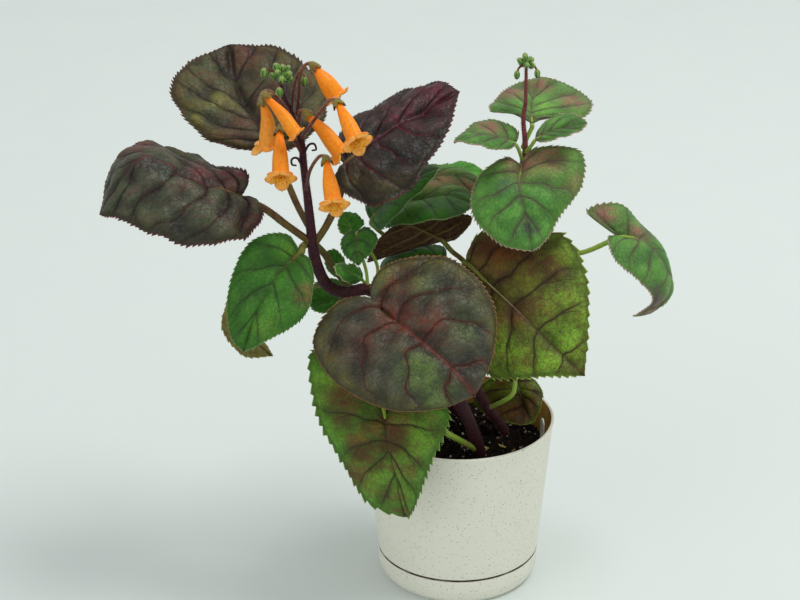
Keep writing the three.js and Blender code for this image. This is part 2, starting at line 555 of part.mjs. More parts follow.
const LEAVES = {
  leaf_top_back: {
    stem: 'stem_1', colour: BRONZE, rows: 8, dome: 3, petioleRadius: 1.8,
    midrib: [[-101, -5, 266], [-115, 17, 274], [-124, 37, 284], [-129, 58, 300]],
    left: [[-112, -8, 263], [-137, -4, 268], [-156, 14, 283], [-153, 35, 294]],
    right: [[-92, -8, 264], [-74, 8, 277], [-79, 33, 289], [-100, 53, 299]],
    petiole: [[-82, -25, 224], [-89, -18, 235], [-96, -10, 250]],
  },
  leaf_top_left: {
    stem: 'stem_1', colour: WINE, rows: 8, dome: 3, petioleRadius: 2,
    midrib: [[-119, -26, 243], [-143, -26, 253], [-171, -26, 265], [-194, -34, 236]],
    left: [[-107, -32, 239], [-113, -42, 229], [-131, -52, 227], [-158, -52, 230], [-179, -42, 236]],
    right: [[-116, -16, 251], [-134, 0, 252], [-156, 6, 257], [-176, 4, 262], [-190, -10, 252]],
    petiole: [[-81, -26, 216], [-95, -26, 227], [-106, -26, 236]],
  },
  leaf_top_right: {
    stem: 'stem_1', colour: WINE, rows: 8, dome: 3, petioleRadius: 2,
    midrib: [[-63, -20, 259], [-41, -4, 272], [-23, 8, 277], [-1, 24, 285]],
    left: [[-70, -10, 264], [-60, 10, 273], [-39, 26, 280], [-16, 32, 287]],
    right: [[-68, -26, 253], [-57, -36, 246], [-39, -40, 246], [-24, -30, 257], [-9, -6, 272]],
    petiole: [[-81, -26, 214], [-73, -24, 226], [-66, -22, 242]],
  },
  leaf_lower_left: {
    stem: 'stem_1', colour: GREEN, rows: 8, dome: 2, petioleRadius: 2,
    midrib: [[-87, -34, 214], [-98, -44, 207], [-109, -58, 192], [-117, -68, 171]],
    right: [[-95, -32, 224], [-114, -38, 221], [-125, -50, 199], [-124, -62, 179]],
    left: [[-82, -38, 211], [-80, -50, 202], [-85, -62, 189], [-104, -70, 179]],
    petiole: [[-60, -28, 189], [-65, -22, 193], [-70, -20, 199], [-75, -19, 207], [-81, -20, 213],
      [-86, -28, 215]],
  },
  leaf_curled_left: {
    stem: 'stem_1', colour: OLIVE, rows: 6, dome: 1.5, petioleRadius: 1.3,
    midrib: [[-93, -18, 186], [-112, -16, 178], [-123, -22, 165], [-103, -38, 154]],
    left: [[-105, -10, 188], [-123, -8, 183], [-132, -12, 161], [-120, -30, 151]],
    right: [[-90, -24, 182], [-100, -30, 172], [-110, -34, 166], [-106, -38, 160]],
    petiole: [[-74, -28, 193], [-80, -25, 190], [-87, -20, 187]],
  },
  leaf_big_front: {
    stem: 'stem_1', colour: BRONZE, rows: 8, dome: 3, petioleRadius: 2,
    midrib: [[-45, -48, 187], [-24, -66, 178], [-5, -80, 166], [6, -84, 153]],
    right: [[-51, -43, 192], [-66, -46, 190], [-80, -56, 172], [-68, -74, 156], [-40, -88, 147],
      [-13, -91, 149]],
    left: [[-50, -41, 195], [-44, -35, 204], [-29, -31, 209], [-4, -34, 209], [16, -50, 191],
      [16, -68, 171]],
    petiole: [[-44, -31, 185], [-46, -38, 186]],
  },
  leaf_over_pot: {
    stem: 'stem_1', colour: OLIVE, rows: 8, dome: 2, petioleRadius: 1.7,
    midrib: [[-42, -62, 139], [-41, -76, 122], [-37, -77, 109], [-30, -66, 69]],
    right: [[-61, -56, 153], [-81, -54, 164], [-78, -64, 133], [-63, -70, 103], [-50, -69, 80]],
    left: [[-28, -62, 150], [-8, -70, 136], [-18, -74, 106], [-26, -69, 77]],
    petiole: [[10, -29, 91], [-9, -45, 111], [-27, -58, 129]],
  },
  leaf_front_right: {
    stem: 'stem_2', colour: OLIVE, rows: 8, dome: 2, petioleRadius: 1.7,
    midrib: [[2, -18, 201], [28, -32, 181], [51, -46, 162], [66, -56, 151]],
    right: [[-4, -20, 187], [7, -34, 159], [15, -44, 146], [30, -50, 147], [46, -54, 150]],
    left: [[9, -12, 215], [29, -6, 214], [56, -10, 213], [67, -24, 196], [68, -40, 177]],
    petiole: [[7, -4, 172], [4, -12, 188]],
  },
  leaf_right_hanging: {
    stem: 'stem_2', colour: GREEN, rows: 8, dome: 2, petioleRadius: 1.4,
    midrib: [[32, -6, 253], [30, -24, 247], [33, -32, 237], [37, -42, 218]],
    right: [[23, -6, 257], [8, -14, 248], [6, -30, 234], [20, -40, 222]],
    left: [[39, -4, 262], [63, -4, 261], [64, -16, 246], [52, -30, 234], [44, -38, 223]],
    petiole: [[33, -1, 250], [32, -4, 252]],
  },
  leaf_right_top: {
    stem: 'stem_2', colour: GREEN, rows: 6, dome: 2, petioleRadius: 1.2,
    midrib: [[38, 5, 273], [38, 16, 277], [39, 28, 278], [44, 48, 285]],
    left: [[28, 9, 277], [16, 14, 277], [19, 27, 279], [30, 44, 281]],
    right: [[46, 8, 275], [66, 12, 275], [71, 30, 277], [58, 46, 281]],
    petiole: [[33, 1, 261], [36, 4, 267], [38, 5, 271]],
  },
  leaf_right_small_1: {
    stem: 'stem_2', colour: GREEN, rows: 6, dome: 1, petioleRadius: 1,
    midrib: [[29, -4, 265], [20, -8, 270], [9, -12, 273], [-5, -16, 271]],
    right: [[30, 2, 269], [22, 7, 273], [10, 6, 274], [1, -4, 272]],
    left: [[28, -8, 265], [20, -18, 267], [9, -22, 271], [0, -20, 272]],
    petiole: [[33, -1, 253], [31, -3, 260]],
  },
  leaf_right_small_2: {
    stem: 'stem_2', colour: GREEN, rows: 4, dome: 1, petioleRadius: 1,
    midrib: [[39, -8, 269], [46, -6, 272], [55, -4, 274], [67, -4, 277]],
    left: [[42, -2, 274], [48, 2, 277], [55, 4, 279], [63, 2, 278]],
    right: [[43, -12, 269], [50, -12, 271], [57, -11, 273], [63, -8, 274]],
    petiole: [[34, 0, 258], [37, -5, 264]],
  },
  leaf_far_right: {
    stem: 'stem_2', colour: GREEN, rows: 6, dome: 1.5, petioleRadius: 1.4,
    midrib: [[87, 4, 207], [99, 0, 207], [109, -6, 200], [115, -14, 186], [106, -22, 174], [94, -26, 172]],
    right: [[81, -4, 210], [82, -14, 205], [91, -22, 197], [100, -26, 191], [104, -28, 182]],
    left: [[70, 10, 219], [87, 20, 220], [101, 20, 208], [113, 8, 197], [116, -6, 182], [111, -16, 174]],
    petiole: [[14, -3, 201], [44, 0, 197], [66, 2, 198], [80, 4, 203]],
  },
  leaf_middle_left: {
    stem: 'stem_3', colour: GREEN, rows: 6, dome: 1.5, petioleRadius: 1.2,
    midrib: [[-50, 8, 215], [-36, 2, 236], [-24, -2, 244], [-12, -4, 251]],
    right: [[-44, 0, 213], [-35, -10, 227], [-25, -14, 239], [-17, -12, 247]],
    left: [[-52, 16, 220], [-45, 20, 227], [-34, 20, 235], [-22, 12, 246]],
    petiole: [[-30, 21, 184], [-36, 22, 194], [-47, 16, 207]],
  },
  leaf_middle_front: {
    stem: 'stem_3', colour: GREEN, rows: 6, dome: 2, petioleRadius: 1.2,
    midrib: [[-38, 20, 219], [-23, 14, 225], [-7, 12, 228], [8, 8, 224]],
    right: [[-42, 8, 212], [-31, -4, 218], [-15, -12, 224], [-4, -8, 224]],
    left: [[-31, 34, 225], [-20, 30, 229], [-7, 26, 230], [3, 20, 228]],
    petiole: [[-30, 22, 188], [-35, 24, 202]],
  },
  leaf_middle_back: {
    stem: 'stem_3', colour: GREEN, rows: 6, dome: 2, petioleRadius: 1.2,
    midrib: [[-31, 48, 216], [-17, 44, 226], [-1, 42, 228], [15, 38, 222]],
    right: [[-34, 38, 211], [-20, 30, 218], [-6, 28, 221], [6, 30, 220]],
    left: [[-26, 60, 222], [-15, 58, 228], [-2, 54, 228], [8, 48, 226]],
    petiole: [[-30, 23, 191], [-31, 40, 201]],
  },
  leaf_middle_far: {
    stem: 'stem_3', colour: LIGHT_GREEN, rows: 4, dome: 1, petioleRadius: 1.1,
    midrib: [[-15, 70, 211], [-6, 74, 215], [2, 78, 217], [12, 84, 217]],
    left: [[-17, 76, 217], [-10, 80, 219], [-2, 86, 218], [5, 88, 218]],
    right: [[-11, 66, 208], [1, 66, 212], [10, 70, 214], [15, 78, 215]],
    petiole: [[-30, 24, 195], [-22, 50, 204]],
  },
  leaf_brown_underside: {
    stem: 'stem_2', colour: BROWN, rows: 6, dome: 2, petioleRadius: 1.4,
    midrib: [[-10, 2, 205], [-20, 6, 209], [-29, 8, 212], [-36, 10, 212]],
    right: [[-23, -2, 204], [-42, -5, 199], [-51, -3, 195], [-46, 5, 204]],
    left: [[-2, 2, 207], [6, 6, 217], [-3, 8, 219], [-20, 9, 219]],
    petiole: [[8, -4, 178], [3, 0, 192], [-5, 0, 200]],
  },
  leaf_heart: {
    stem: 'stem_1', colour: GREEN, rows: 4, dome: 1, petioleRadius: 0.9,
    midrib: [[-57, -24, 221], [-57, -30, 218], [-57, -34, 212], [-56, -36, 207]],
    right: [[-61, -22, 221], [-65, -24, 216], [-63, -30, 211], [-59, -34, 209]],
    left: [[-52, -20, 223], [-46, -22, 218], [-49, -30, 213], [-53, -34, 210]],
    petiole: [[-51, -31, 191], [-52, -26, 200], [-56, -21, 212]],
  },
  leaf_small_1: {
    stem: 'stem_1', colour: LIGHT_GREEN, rows: 4, dome: 0.8, petioleRadius: 0.9,
    midrib: [[-60, -8, 214], [-61, -6, 218], [-63, -4, 221], [-65, -2, 224]],
    left: [[-64, -10, 214], [-67, -8, 217], [-67, -6, 221], [-66, -4, 223]],
    right: [[-57, -6, 215], [-54, 0, 216], [-56, 2, 220], [-61, 0, 223]],
    petiole: [[-47, -31, 189], [-46, -16, 198], [-53, -8, 208]],
  },
  leaf_small_2: {
    stem: 'stem_1', colour: LIGHT_GREEN, rows: 4, dome: 0.8, petioleRadius: 0.9,
    midrib: [[-65, 2, 182], [-67, 3, 187], [-71, 5, 192], [-74, 7, 197]],
    left: [[-70, 0, 185], [-74, 1, 189], [-75, 4, 194]],
    right: [[-63, 4, 186], [-65, 6, 192], [-69, 8, 197]],
    petiole: [[-54, -30, 189], [-54, -16, 185], [-60, -5, 181]],
  },
  leaf_small_3: {
    stem: 'stem_1', colour: LIGHT_GREEN, rows: 4, dome: 0.8, petioleRadius: 0.9,
    midrib: [[-54, -18, 191], [-61, -24, 198], [-65, -30, 203], [-69, -34, 206]],
    left: [[-58, -24, 191], [-63, -32, 196], [-67, -36, 202]],
    right: [[-56, -12, 195], [-61, -18, 200], [-66, -26, 204]],
    petiole: [[-48, -31, 188], [-50, -24, 188]],
  },
  leaf_small_4: {
    stem: 'stem_1', colour: LIGHT_GREEN, rows: 4, dome: 0.8, petioleRadius: 0.9,
    midrib: [[-60, -16, 181], [-67, -14, 178], [-75, -12, 175], [-84, -10, 173]],
    left: [[-64, -21, 175], [-72, -20, 172], [-80, -16, 171]],
    right: [[-66, -8, 185], [-75, -4, 185], [-82, -5, 181]],
    petiole: [[-62, -29, 188], [-60, -22, 184]],
  },
  leaf_in_pot: {
    stem: 'stem_2', colour: OLIVE, rows: 6, dome: 1.5, petioleRadius: 1.3,
    midrib: [[32, 4, 119], [35, 10, 107], [37, 10, 98], [36, 1, 91]],
    right: [[22, 2, 123], [11, 4, 113], [9, 8, 102], [19, 7, 93]],
    left: [[41, 10, 117], [48, 14, 106], [47, 12, 98], [43, 5, 92]],
    petiole: [[16, -3, 104], [24, -10, 112], [30, -8, 116]],
  },
  leaf_shaded: {
    stem: 'stem_3', colour: GREEN, rows: 4, dome: 1, petioleRadius: 1.1,
    midrib: [[-8, -5, 198], [-20, -5, 200], [-31, -5, 198], [-45, -5, 191]],
    left: [[-12, -14, 195], [-25, -16, 192], [-38, -12, 188]],
    right: [[-9, 5, 200], [-19, 9, 200], [-32, 9, 198], [-42, 5, 193]],
    petiole: [[-27, 18, 164], [-18, 10, 176], [-9, 0, 189]],
  },
};

// Blooms of the first spike: the calyx, the mouth, the side the lower lip turns to, and the stalk.
// One bloom is wider than the others, and a young one is narrow with small lobes.
const BLOOMS = [
  { calyx: [-79, -26, 317], mouth: [-67, -30, 302], lip: [-0.5, 0.8, 0], wide: 1.12, flare: 0.8,
    pedicel: [[-88, -21, 288], [-87, -22, 299], [-86, -24, 311], [-83, -25, 317]] },
  { calyx: [-66, -46, 304], mouth: [-56, -63, 289], lip: [-0.2, 1, -0.2],
    pedicel: [[-86, -22, 275], [-81, -40, 288], [-75, -44, 298], [-70, -46, 305]] },
  { calyx: [-83, -30, 292], mouth: [-66, -35, 273], lip: [-0.6, -1, 0],
    pedicel: [[-87, -22, 280], [-87, -27, 287], [-86, -30, 293]] },
  { calyx: [-72, -50, 274], mouth: [-68, -67, 256], lip: [0, 1, 0],
    pedicel: [[-84, -25, 246], [-81, -38, 263], [-76, -47, 274]] },
  { calyx: [-97, -30, 283], mouth: [-96, -49, 264], lip: [0, 1, 0],
    pedicel: [[-86, -23, 267], [-91, -27, 278], [-95, -29, 285]] },
  { calyx: [-104, -38, 305], mouth: [-88, -46, 287], lip: [-0.6, -1, 0], wide: 0.85, flare: 0.4,
    pedicel: [[-90, -21, 284], [-95, -30, 297], [-101, -36, 306]] },
  { calyx: [-106, -20, 296], mouth: [-104, -20, 271], lip: [-1, -0.4, 0],
    pedicel: [[-92, -21, 290], [-98, -19, 297], [-103, -19, 299]] },
];

const BUD_CLUSTERS = {
  buds_1: {
    stem: 'stem_1', seed: 3, count: 11, core: 3, bud: 1.9, centre: [-96, -19, 309],
    hanging: [[-105, -21, 311], [-97, -26, 302]],
  },
  buds_2: {
    stem: 'stem_2', seed: 5, count: 8, core: 2.4, bud: 1.6, centre: [34, 4, 308],
    hanging: [[29, 2, 302], [40, 4, 302]],
  },
};

// A single bud that hangs from the first stem on its own arching stalk
const SIDE_BUD = {
  stem: 'stem_1', place: [-84, -20, 306], bud: 1.9,
  stalk: [[-91, -21, 289], [-90, -21, 300], [-87, -21, 311], [-84, -20, 310], [-84, -20, 307]],
};

// Assembly
const plant = new THREE.Group();

function addMesh(name, geometry, colour, roughness) {
  const material = new THREE.MeshStandardMaterial({ color: colour, roughness, metalness: 0 });
  const mesh = new THREE.Mesh(geometry, material);
  mesh.name = name;
  plant.add(mesh);
}

const STEM_SIDES = 7;
const STEM_STEPS_PER_POINT = 1.7;
const SPENT_STALK_RADII = [0.7, 0.6, 0.5];
const SPENT_STALK_SIDES = 4;
const SPENT_STALK_STEPS = 6;

function stemSolid(stem, extra) {
  const steps = Math.round(STEM_STEPS_PER_POINT * (stem.points.length - 1));
  return toSolid(taperedTube(stem.points, stem.radii.map((r) => r + extra), STEM_SIDES, steps));
}

const fatStems = {};
Object.entries(STEMS).forEach(([name, stem]) => {
  fatStems[name] = stemSolid(stem, CLEARANCE);
  const spent = (stem.spent ?? []).map((points) => {
    const stalk = taperedTube(points, SPENT_STALK_RADII, SPENT_STALK_SIDES, SPENT_STALK_STEPS);
    return toSolid(stalk);
  });
  addMesh(name, toGeometry(fuse([stemSolid(stem, 0), ...spent])), stem.colour, VELVETY);
});

// A round body from a profile of radius and height
function turned(profile) {
  const body = new THREE.LatheGeometry(profile.map(([r, z]) => new THREE.Vector2(r, z)), ROUND_STEPS);
  body.rotateX(Math.PI / 2);
  return body;
}

// The pot's wall steps in at the seam and its foot stands inside the saucer
const POT_UNDERSIDE = SAUCER_FLOOR + CLEARANCE;
const POT_FLOOR_TOP = POT_UNDERSIDE + POT_FLOOR;
const SEAM_TOP = SEAM_HEIGHT + SEAM_GAP;
const FOOT_BEND_HEIGHT = SEAM_HEIGHT - FOOT_STEP;
const FOOT_CORNER_INSET = 3;
const FOOT_SPREAD = 0.6;
const INNER_CORNER_INSET = 3.6;
const HOLE_STEPS = 12;
const HOLE_CUT_HEIGHT = 12;

function makePot() {
  const profile = [
    [0, POT_UNDERSIDE],
    [SAUCER_FOOT_RADIUS - FOOT_CORNER_INSET, POT_UNDERSIDE],
    [SEAM_RADIUS - FOOT_INSET, FOOT_BEND_HEIGHT],
    [SEAM_RADIUS - FOOT_INSET + FOOT_SPREAD, SEAM_TOP],
    [SEAM_RADIUS, SEAM_TOP],
    [POT_RIM_RADIUS - RIM_LIP, POT_HEIGHT - RIM_LIP_HEIGHT],
    [POT_RIM_RADIUS, POT_HEIGHT - RIM_LIP_HEIGHT / 2],
    [POT_RIM_RADIUS, POT_HEIGHT],
    [POT_RIM_RADIUS - POT_WALL, POT_HEIGHT],
    [SEAM_RADIUS - POT_WALL, SEAM_TOP + POT_WALL],
    [SEAM_RADIUS - FOOT_INSET - POT_WALL, FOOT_BEND_HEIGHT],
    [SAUCER_FOOT_RADIUS - INNER_CORNER_INSET - POT_WALL, POT_FLOOR_TOP],
    [0, POT_FLOOR_TOP],
  ];
  let pot = toSolid(turned(profile));
  for (let i = 0; i < DRAIN_HOLES; i += 1) {
    const angle = (2 * Math.PI * (i + 0.5)) / DRAIN_HOLES;
    const radius = DRAIN_HOLE_RADIUS;
    const hole = new THREE.CylinderGeometry(radius, radius, HOLE_CUT_HEIGHT, HOLE_STEPS);
    hole.rotateX(Math.PI / 2);
    const east = DRAIN_CIRCLE_RADIUS * Math.cos(angle);
    const north = DRAIN_CIRCLE_RADIUS * Math.sin(angle);
    hole.translate(east, north, POT_FLOOR_TOP);
    pot = pot.subtract(toSolid(hole));
  }
  addMesh('pot', toGeometry(pot), PLASTIC, SATIN);
}

// The saucer's wall leans out a little from its foot to its top
const SAUCER_BEND_INSET = 1.4;
const SAUCER_MIDDLE_INSET = 0.3;
const SAUCER_INNER_LEAN = 0.4;
const SAUCER_INNER_RISE = 1;
const SAUCER_CORNER_INSET = 1.8;

function makeSaucer() {
  const profile = [
    [0, 0],
    [SAUCER_FOOT_RADIUS, 0],
    [SEAM_RADIUS - SAUCER_BEND_INSET, SAUCER_BEND_HEIGHT],
    [SEAM_RADIUS - SAUCER_MIDDLE_INSET, SEAM_HEIGHT / 2],
    [SEAM_RADIUS, SEAM_HEIGHT],
    [SEAM_RADIUS - SAUCER_WALL, SEAM_HEIGHT],
    [SEAM_RADIUS - SAUCER_WALL - SAUCER_INNER_LEAN, SEAM_HEIGHT / 2 + SAUCER_INNER_RISE],
    [SAUCER_FOOT_RADIUS - SAUCER_CORNER_INSET, SAUCER_FLOOR],
    [0, SAUCER_FLOOR],
  ];
  addMesh('saucer', toGeometry(toSolid(turned(profile))), PLASTIC, SATIN);
}

// The soil fills the pot from its floor up, a little clear of the wall, with a low
// rough dome on top and a few lumps of bark
const SOIL_WALL_GAP = 0.6;
const SOIL_FOOT_GAP = 1;
const EDGE_BAND = 1;
const LUMP_MARGIN = 5;
const LUMP_LEAST = 1.4;
const LUMP_VARIES = 1.4;
const LUMP_RISE = 0.6;

function makeSoil() {
  const random = seeded(11);
  const floor = POT_FLOOR_TOP + CLEARANCE;
  const wallAt = (z) => {
    const share = (z - SEAM_HEIGHT) / (POT_HEIGHT - RIM_LIP_HEIGHT - SEAM_HEIGHT);
    const outside = THREE.MathUtils.lerp(SEAM_RADIUS, POT_RIM_RADIUS - RIM_LIP, share);
    return outside - POT_WALL - SOIL_WALL_GAP;
  };
  const step = SEAM_TOP + POT_WALL + SOIL_WALL_GAP;
  const footRadius = SEAM_RADIUS - FOOT_INSET - POT_WALL - SOIL_FOOT_GAP;
  const rimHeight = SOIL_HEIGHT - SOIL_EDGE_DROP;
  const edge = wallAt(rimHeight);
  const domed = (share) => SOIL_HEIGHT - SOIL_EDGE_DROP * Math.max(0, 2 * share - 1) ** 2;
  const profile = [
    [0, floor],
    [SAUCER_FOOT_RADIUS - FOOT_INSET - POT_WALL - SOIL_FOOT_GAP, floor],
    [footRadius, FOOT_BEND_HEIGHT],
    [footRadius, step],
    [wallAt(step), step],
    ...SOIL_RINGS.map((share) => [edge * share, domed(share)]),
    [0, SOIL_HEIGHT],
  ];
  const body = turned(profile);
  body.deleteAttribute('normal');
  body.deleteAttribute('uv');
  const merged = mergeVertices(body, 1e-3);
  const place = merged.attributes.position;
  for (let i = 0; i < place.count; i += 1) {
    const inside = Math.hypot(place.getX(i), place.getY(i)) < edge - EDGE_BAND;
    if (place.getZ(i) > rimHeight + 0.01 && inside) {
      place.setZ(i, place.getZ(i) + SOIL_ROUGHNESS * (2 * random() - 1));
    }
  }
  let soil = toSolid(merged);
  for (let i = 0; i < SOIL_LUMPS; i += 1) {
    const angle = 2 * Math.PI * random();
    const reach = (edge - LUMP_MARGIN) * Math.sqrt(random());
    const lump = new THREE.IcosahedronGeometry(LUMP_LEAST + LUMP_VARIES * random(), 0);
    lump.translate(reach * Math.cos(angle), reach * Math.sin(angle), domed(reach / edge) + LUMP_RISE);
    soil = soil.add(toSolid(lump));
  }
  Object.values(fatStems).forEach((stem) => {
    soil = soil.subtract(stem);
  });
  return soil;
}

// The label is a plain blade with a rounded top and a pointed foot
function labelSolid(extra) {
  const half = LABEL_WIDTH / 2;
  const outline = new THREE.Shape();
  outline.moveTo(0, -extra);
  outline.lineTo(half + extra, LABEL_POINT);
  outline.lineTo(half + extra, LABEL_HEIGHT - half);
  outline.absarc(0, LABEL_HEIGHT - half, half + extra, 0, Math.PI, false);
  outline.lineTo(-half - extra, LABEL_POINT);
  const depth = LABEL_THICKNESS + 2 * extra;
  const plate = new THREE.ExtrudeGeometry(outline, { depth, bevelEnabled: false, curveSegments: 8 });
  plate.translate(0, 0, -depth / 2);
  plate.rotateX(Math.PI / 2);
  plate.rotateZ(LABEL_TURN);
  plate.translate(...LABEL_PLACE);
  return toSolid(plate);
}

makePot();
makeSaucer();
const soil = makeSoil().subtract(labelSolid(CLEARANCE));

Object.entries(LEAVES).forEach(([name, leaf]) => {
  addMesh(name, toGeometry(leafSolid(leaf).subtract(fatStems[leaf.stem])), leaf.colour, VELVETY);
});
addMesh('soil', toGeometry(soil), SOIL_BROWN, MATT);
addMesh('plant_label', toGeometry(labelSolid(0)), LABEL_WHITE, SATIN);

BLOOMS.forEach((bloom, i) => {
  addMesh(`corolla_${i + 1}`, corollaGeometry(bloom), ORANGE, PETAL);
  addMesh(`calyx_${i + 1}`, toGeometry(calyxSolid(bloom).subtract(fatStems.stem_1)), CALYX_GREEN, VELVETY);
});
Object.entries(BUD_CLUSTERS).forEach(([name, cluster]) => {
  addMesh(name, toGeometry(budCluster(cluster).subtract(fatStems[cluster.stem])), BUD_GREEN, VELVETY);
});

const sideBud = toSolid(taperedTube(SIDE_BUD.stalk, BUD_STALK_RADII, PEDICEL_SIDES, PEDICEL_STEPS))
  .add(budSolid(SIDE_BUD.place, SIDE_BUD.bud * HANGING_LENGTH, SIDE_BUD.bud, [0, 0]));
addMesh('bud_side', toGeometry(sideBud.subtract(fatStems[SIDE_BUD.stem])), YOUNG_GREEN, VELVETY);

export default plant;
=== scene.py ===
"""A potted smithiantha: the looks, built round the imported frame.

The plant's points are in millimetres, as in the part's source, and the objects are in metres.
"""
import math

import bmesh
import bpy
import numpy as np
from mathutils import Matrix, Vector
from mathutils import noise as blender_noise


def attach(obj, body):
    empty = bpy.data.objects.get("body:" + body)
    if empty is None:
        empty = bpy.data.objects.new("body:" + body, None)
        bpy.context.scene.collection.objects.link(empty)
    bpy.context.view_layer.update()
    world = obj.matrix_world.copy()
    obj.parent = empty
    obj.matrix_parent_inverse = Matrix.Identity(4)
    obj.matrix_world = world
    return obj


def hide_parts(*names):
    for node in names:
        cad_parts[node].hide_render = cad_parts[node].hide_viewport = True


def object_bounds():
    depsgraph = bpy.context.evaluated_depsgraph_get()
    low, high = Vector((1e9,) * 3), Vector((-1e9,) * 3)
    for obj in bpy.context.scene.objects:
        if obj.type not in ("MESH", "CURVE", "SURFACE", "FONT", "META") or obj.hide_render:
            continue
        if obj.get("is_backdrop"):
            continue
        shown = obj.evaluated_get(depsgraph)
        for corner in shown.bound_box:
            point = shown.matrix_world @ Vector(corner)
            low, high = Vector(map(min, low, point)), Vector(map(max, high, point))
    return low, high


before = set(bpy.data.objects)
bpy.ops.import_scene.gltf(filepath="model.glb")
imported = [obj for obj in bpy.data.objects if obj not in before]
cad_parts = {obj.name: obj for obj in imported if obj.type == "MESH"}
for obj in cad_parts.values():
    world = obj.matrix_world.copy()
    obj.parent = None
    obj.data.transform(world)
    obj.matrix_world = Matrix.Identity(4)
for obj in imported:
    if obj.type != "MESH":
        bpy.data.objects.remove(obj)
cad_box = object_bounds()
MM = 0.001


def new_object(name, data):
    """An object with this data, in the scene."""
    made = bpy.data.objects.new(name, data)
    bpy.context.scene.collection.objects.link(made)
    return made


# Camera, first because everything is placed against it
CAMERA_PLACE = (-0.0336, -1.243, 0.742)
CAMERA_PITCH_DEG = 24.7
CAMERA_LENS = 110.52
camera_data = bpy.data.cameras.new("camera")
camera_data.lens = CAMERA_LENS
camera_data.sensor_width = 36
camera_data.clip_end = 20
camera = new_object("camera", camera_data)
camera.location = CAMERA_PLACE
camera.rotation_euler = (math.radians(90 - CAMERA_PITCH_DEG), 0, 0)
bpy.context.scene.camera = camera
bpy.context.scene.view_settings.view_transform = "Standard"


# Curves and small maths

def spline(points, t):
    """Points at t, from 0 to 1, on the smooth curve that goes through the given points."""
    p = np.asarray(points, float)
    t = np.atleast_1d(np.asarray(t, float))
    p = np.vstack([2 * p[0] - p[1], p, 2 * p[-1] - p[-2]])
    place = np.clip(t, 0, 1) * (len(p) - 3)
    low = np.minimum(place.astype(int), len(p) - 4)
    w = (place - low)[:, None]
    a, b, c, d = (p[low + k] for k in range(4))
    leave, arrive = 0.5 * (c - a), 0.5 * (d - b)
    return ((2 * w ** 3 - 3 * w ** 2 + 1) * b + (w ** 3 - 2 * w ** 2 + w) * leave
            + (3 * w ** 2 - 2 * w ** 3) * c + (w ** 3 - w ** 2) * arrive)


def unit(v):
    return v / np.maximum(np.linalg.norm(v, axis=-1, keepdims=True), 1e-9)


def arc_length(points):
    return np.concatenate([[0], np.cumsum(np.linalg.norm(np.diff(points, axis=0), axis=1))])


def smooth_step(low, high, x):
    x = np.clip((x - low) / (high - low), 0, 1)
    return x * x * (3 - 2 * x)


def bump_round(x, width):
    return np.exp(-(x / width) ** 2)


def soft_noise(points, size, seed):
    """Smooth noise from -1 to 1 at points in millimetres, with features of the given size."""
    shift = 17.3 * seed
    return np.array([blender_noise.noise((p[0] / size + shift, p[1] / size, p[2] / size)) for p in points])


def bulge_gap(points, size, seed):
    """How far each place is from the border between rounded cells of the given size."""
    gaps = []
    for p in points:
        place = Vector((p[0] / size + 11.7 * seed, p[1] / size, p[2] / size))
        place += 0.35 * blender_noise.noise_vector(place * 0.8)
        near, _ = blender_noise.voronoi(place)
        gaps.append(near[1] - near[0])
    return np.array(gaps)


def full_turn(count):
    """Angles evenly round a circle."""
    return np.linspace(0, 2 * math.pi, count, endpoint=False)


def upright_rings(radius, height, angle):
    """Points of level rings round the upright axis, one ring for each radius and height."""
    radius, height = np.asarray(radius, float)[:, None], np.asarray(height, float)[:, None]
    rings = np.stack([radius * np.cos(angle), radius * np.sin(angle), height + 0 * angle], -1)
    return rings.reshape(-1, 3)


def tilted_ring(centre, a, b, along, angle, radius, forward):
    """A ring in the plane of a and b, with each point moved forward along the axis."""
    radius, forward = np.broadcast_to(radius, angle.shape), np.broadcast_to(forward, angle.shape)
    flat = (radius * np.cos(angle))[:, None] * a + (radius * np.sin(angle))[:, None] * b
    return centre + flat + forward[:, None] * along


# Meshes. A body gathers points in millimetres, faces, their material slots and marks for the shader.

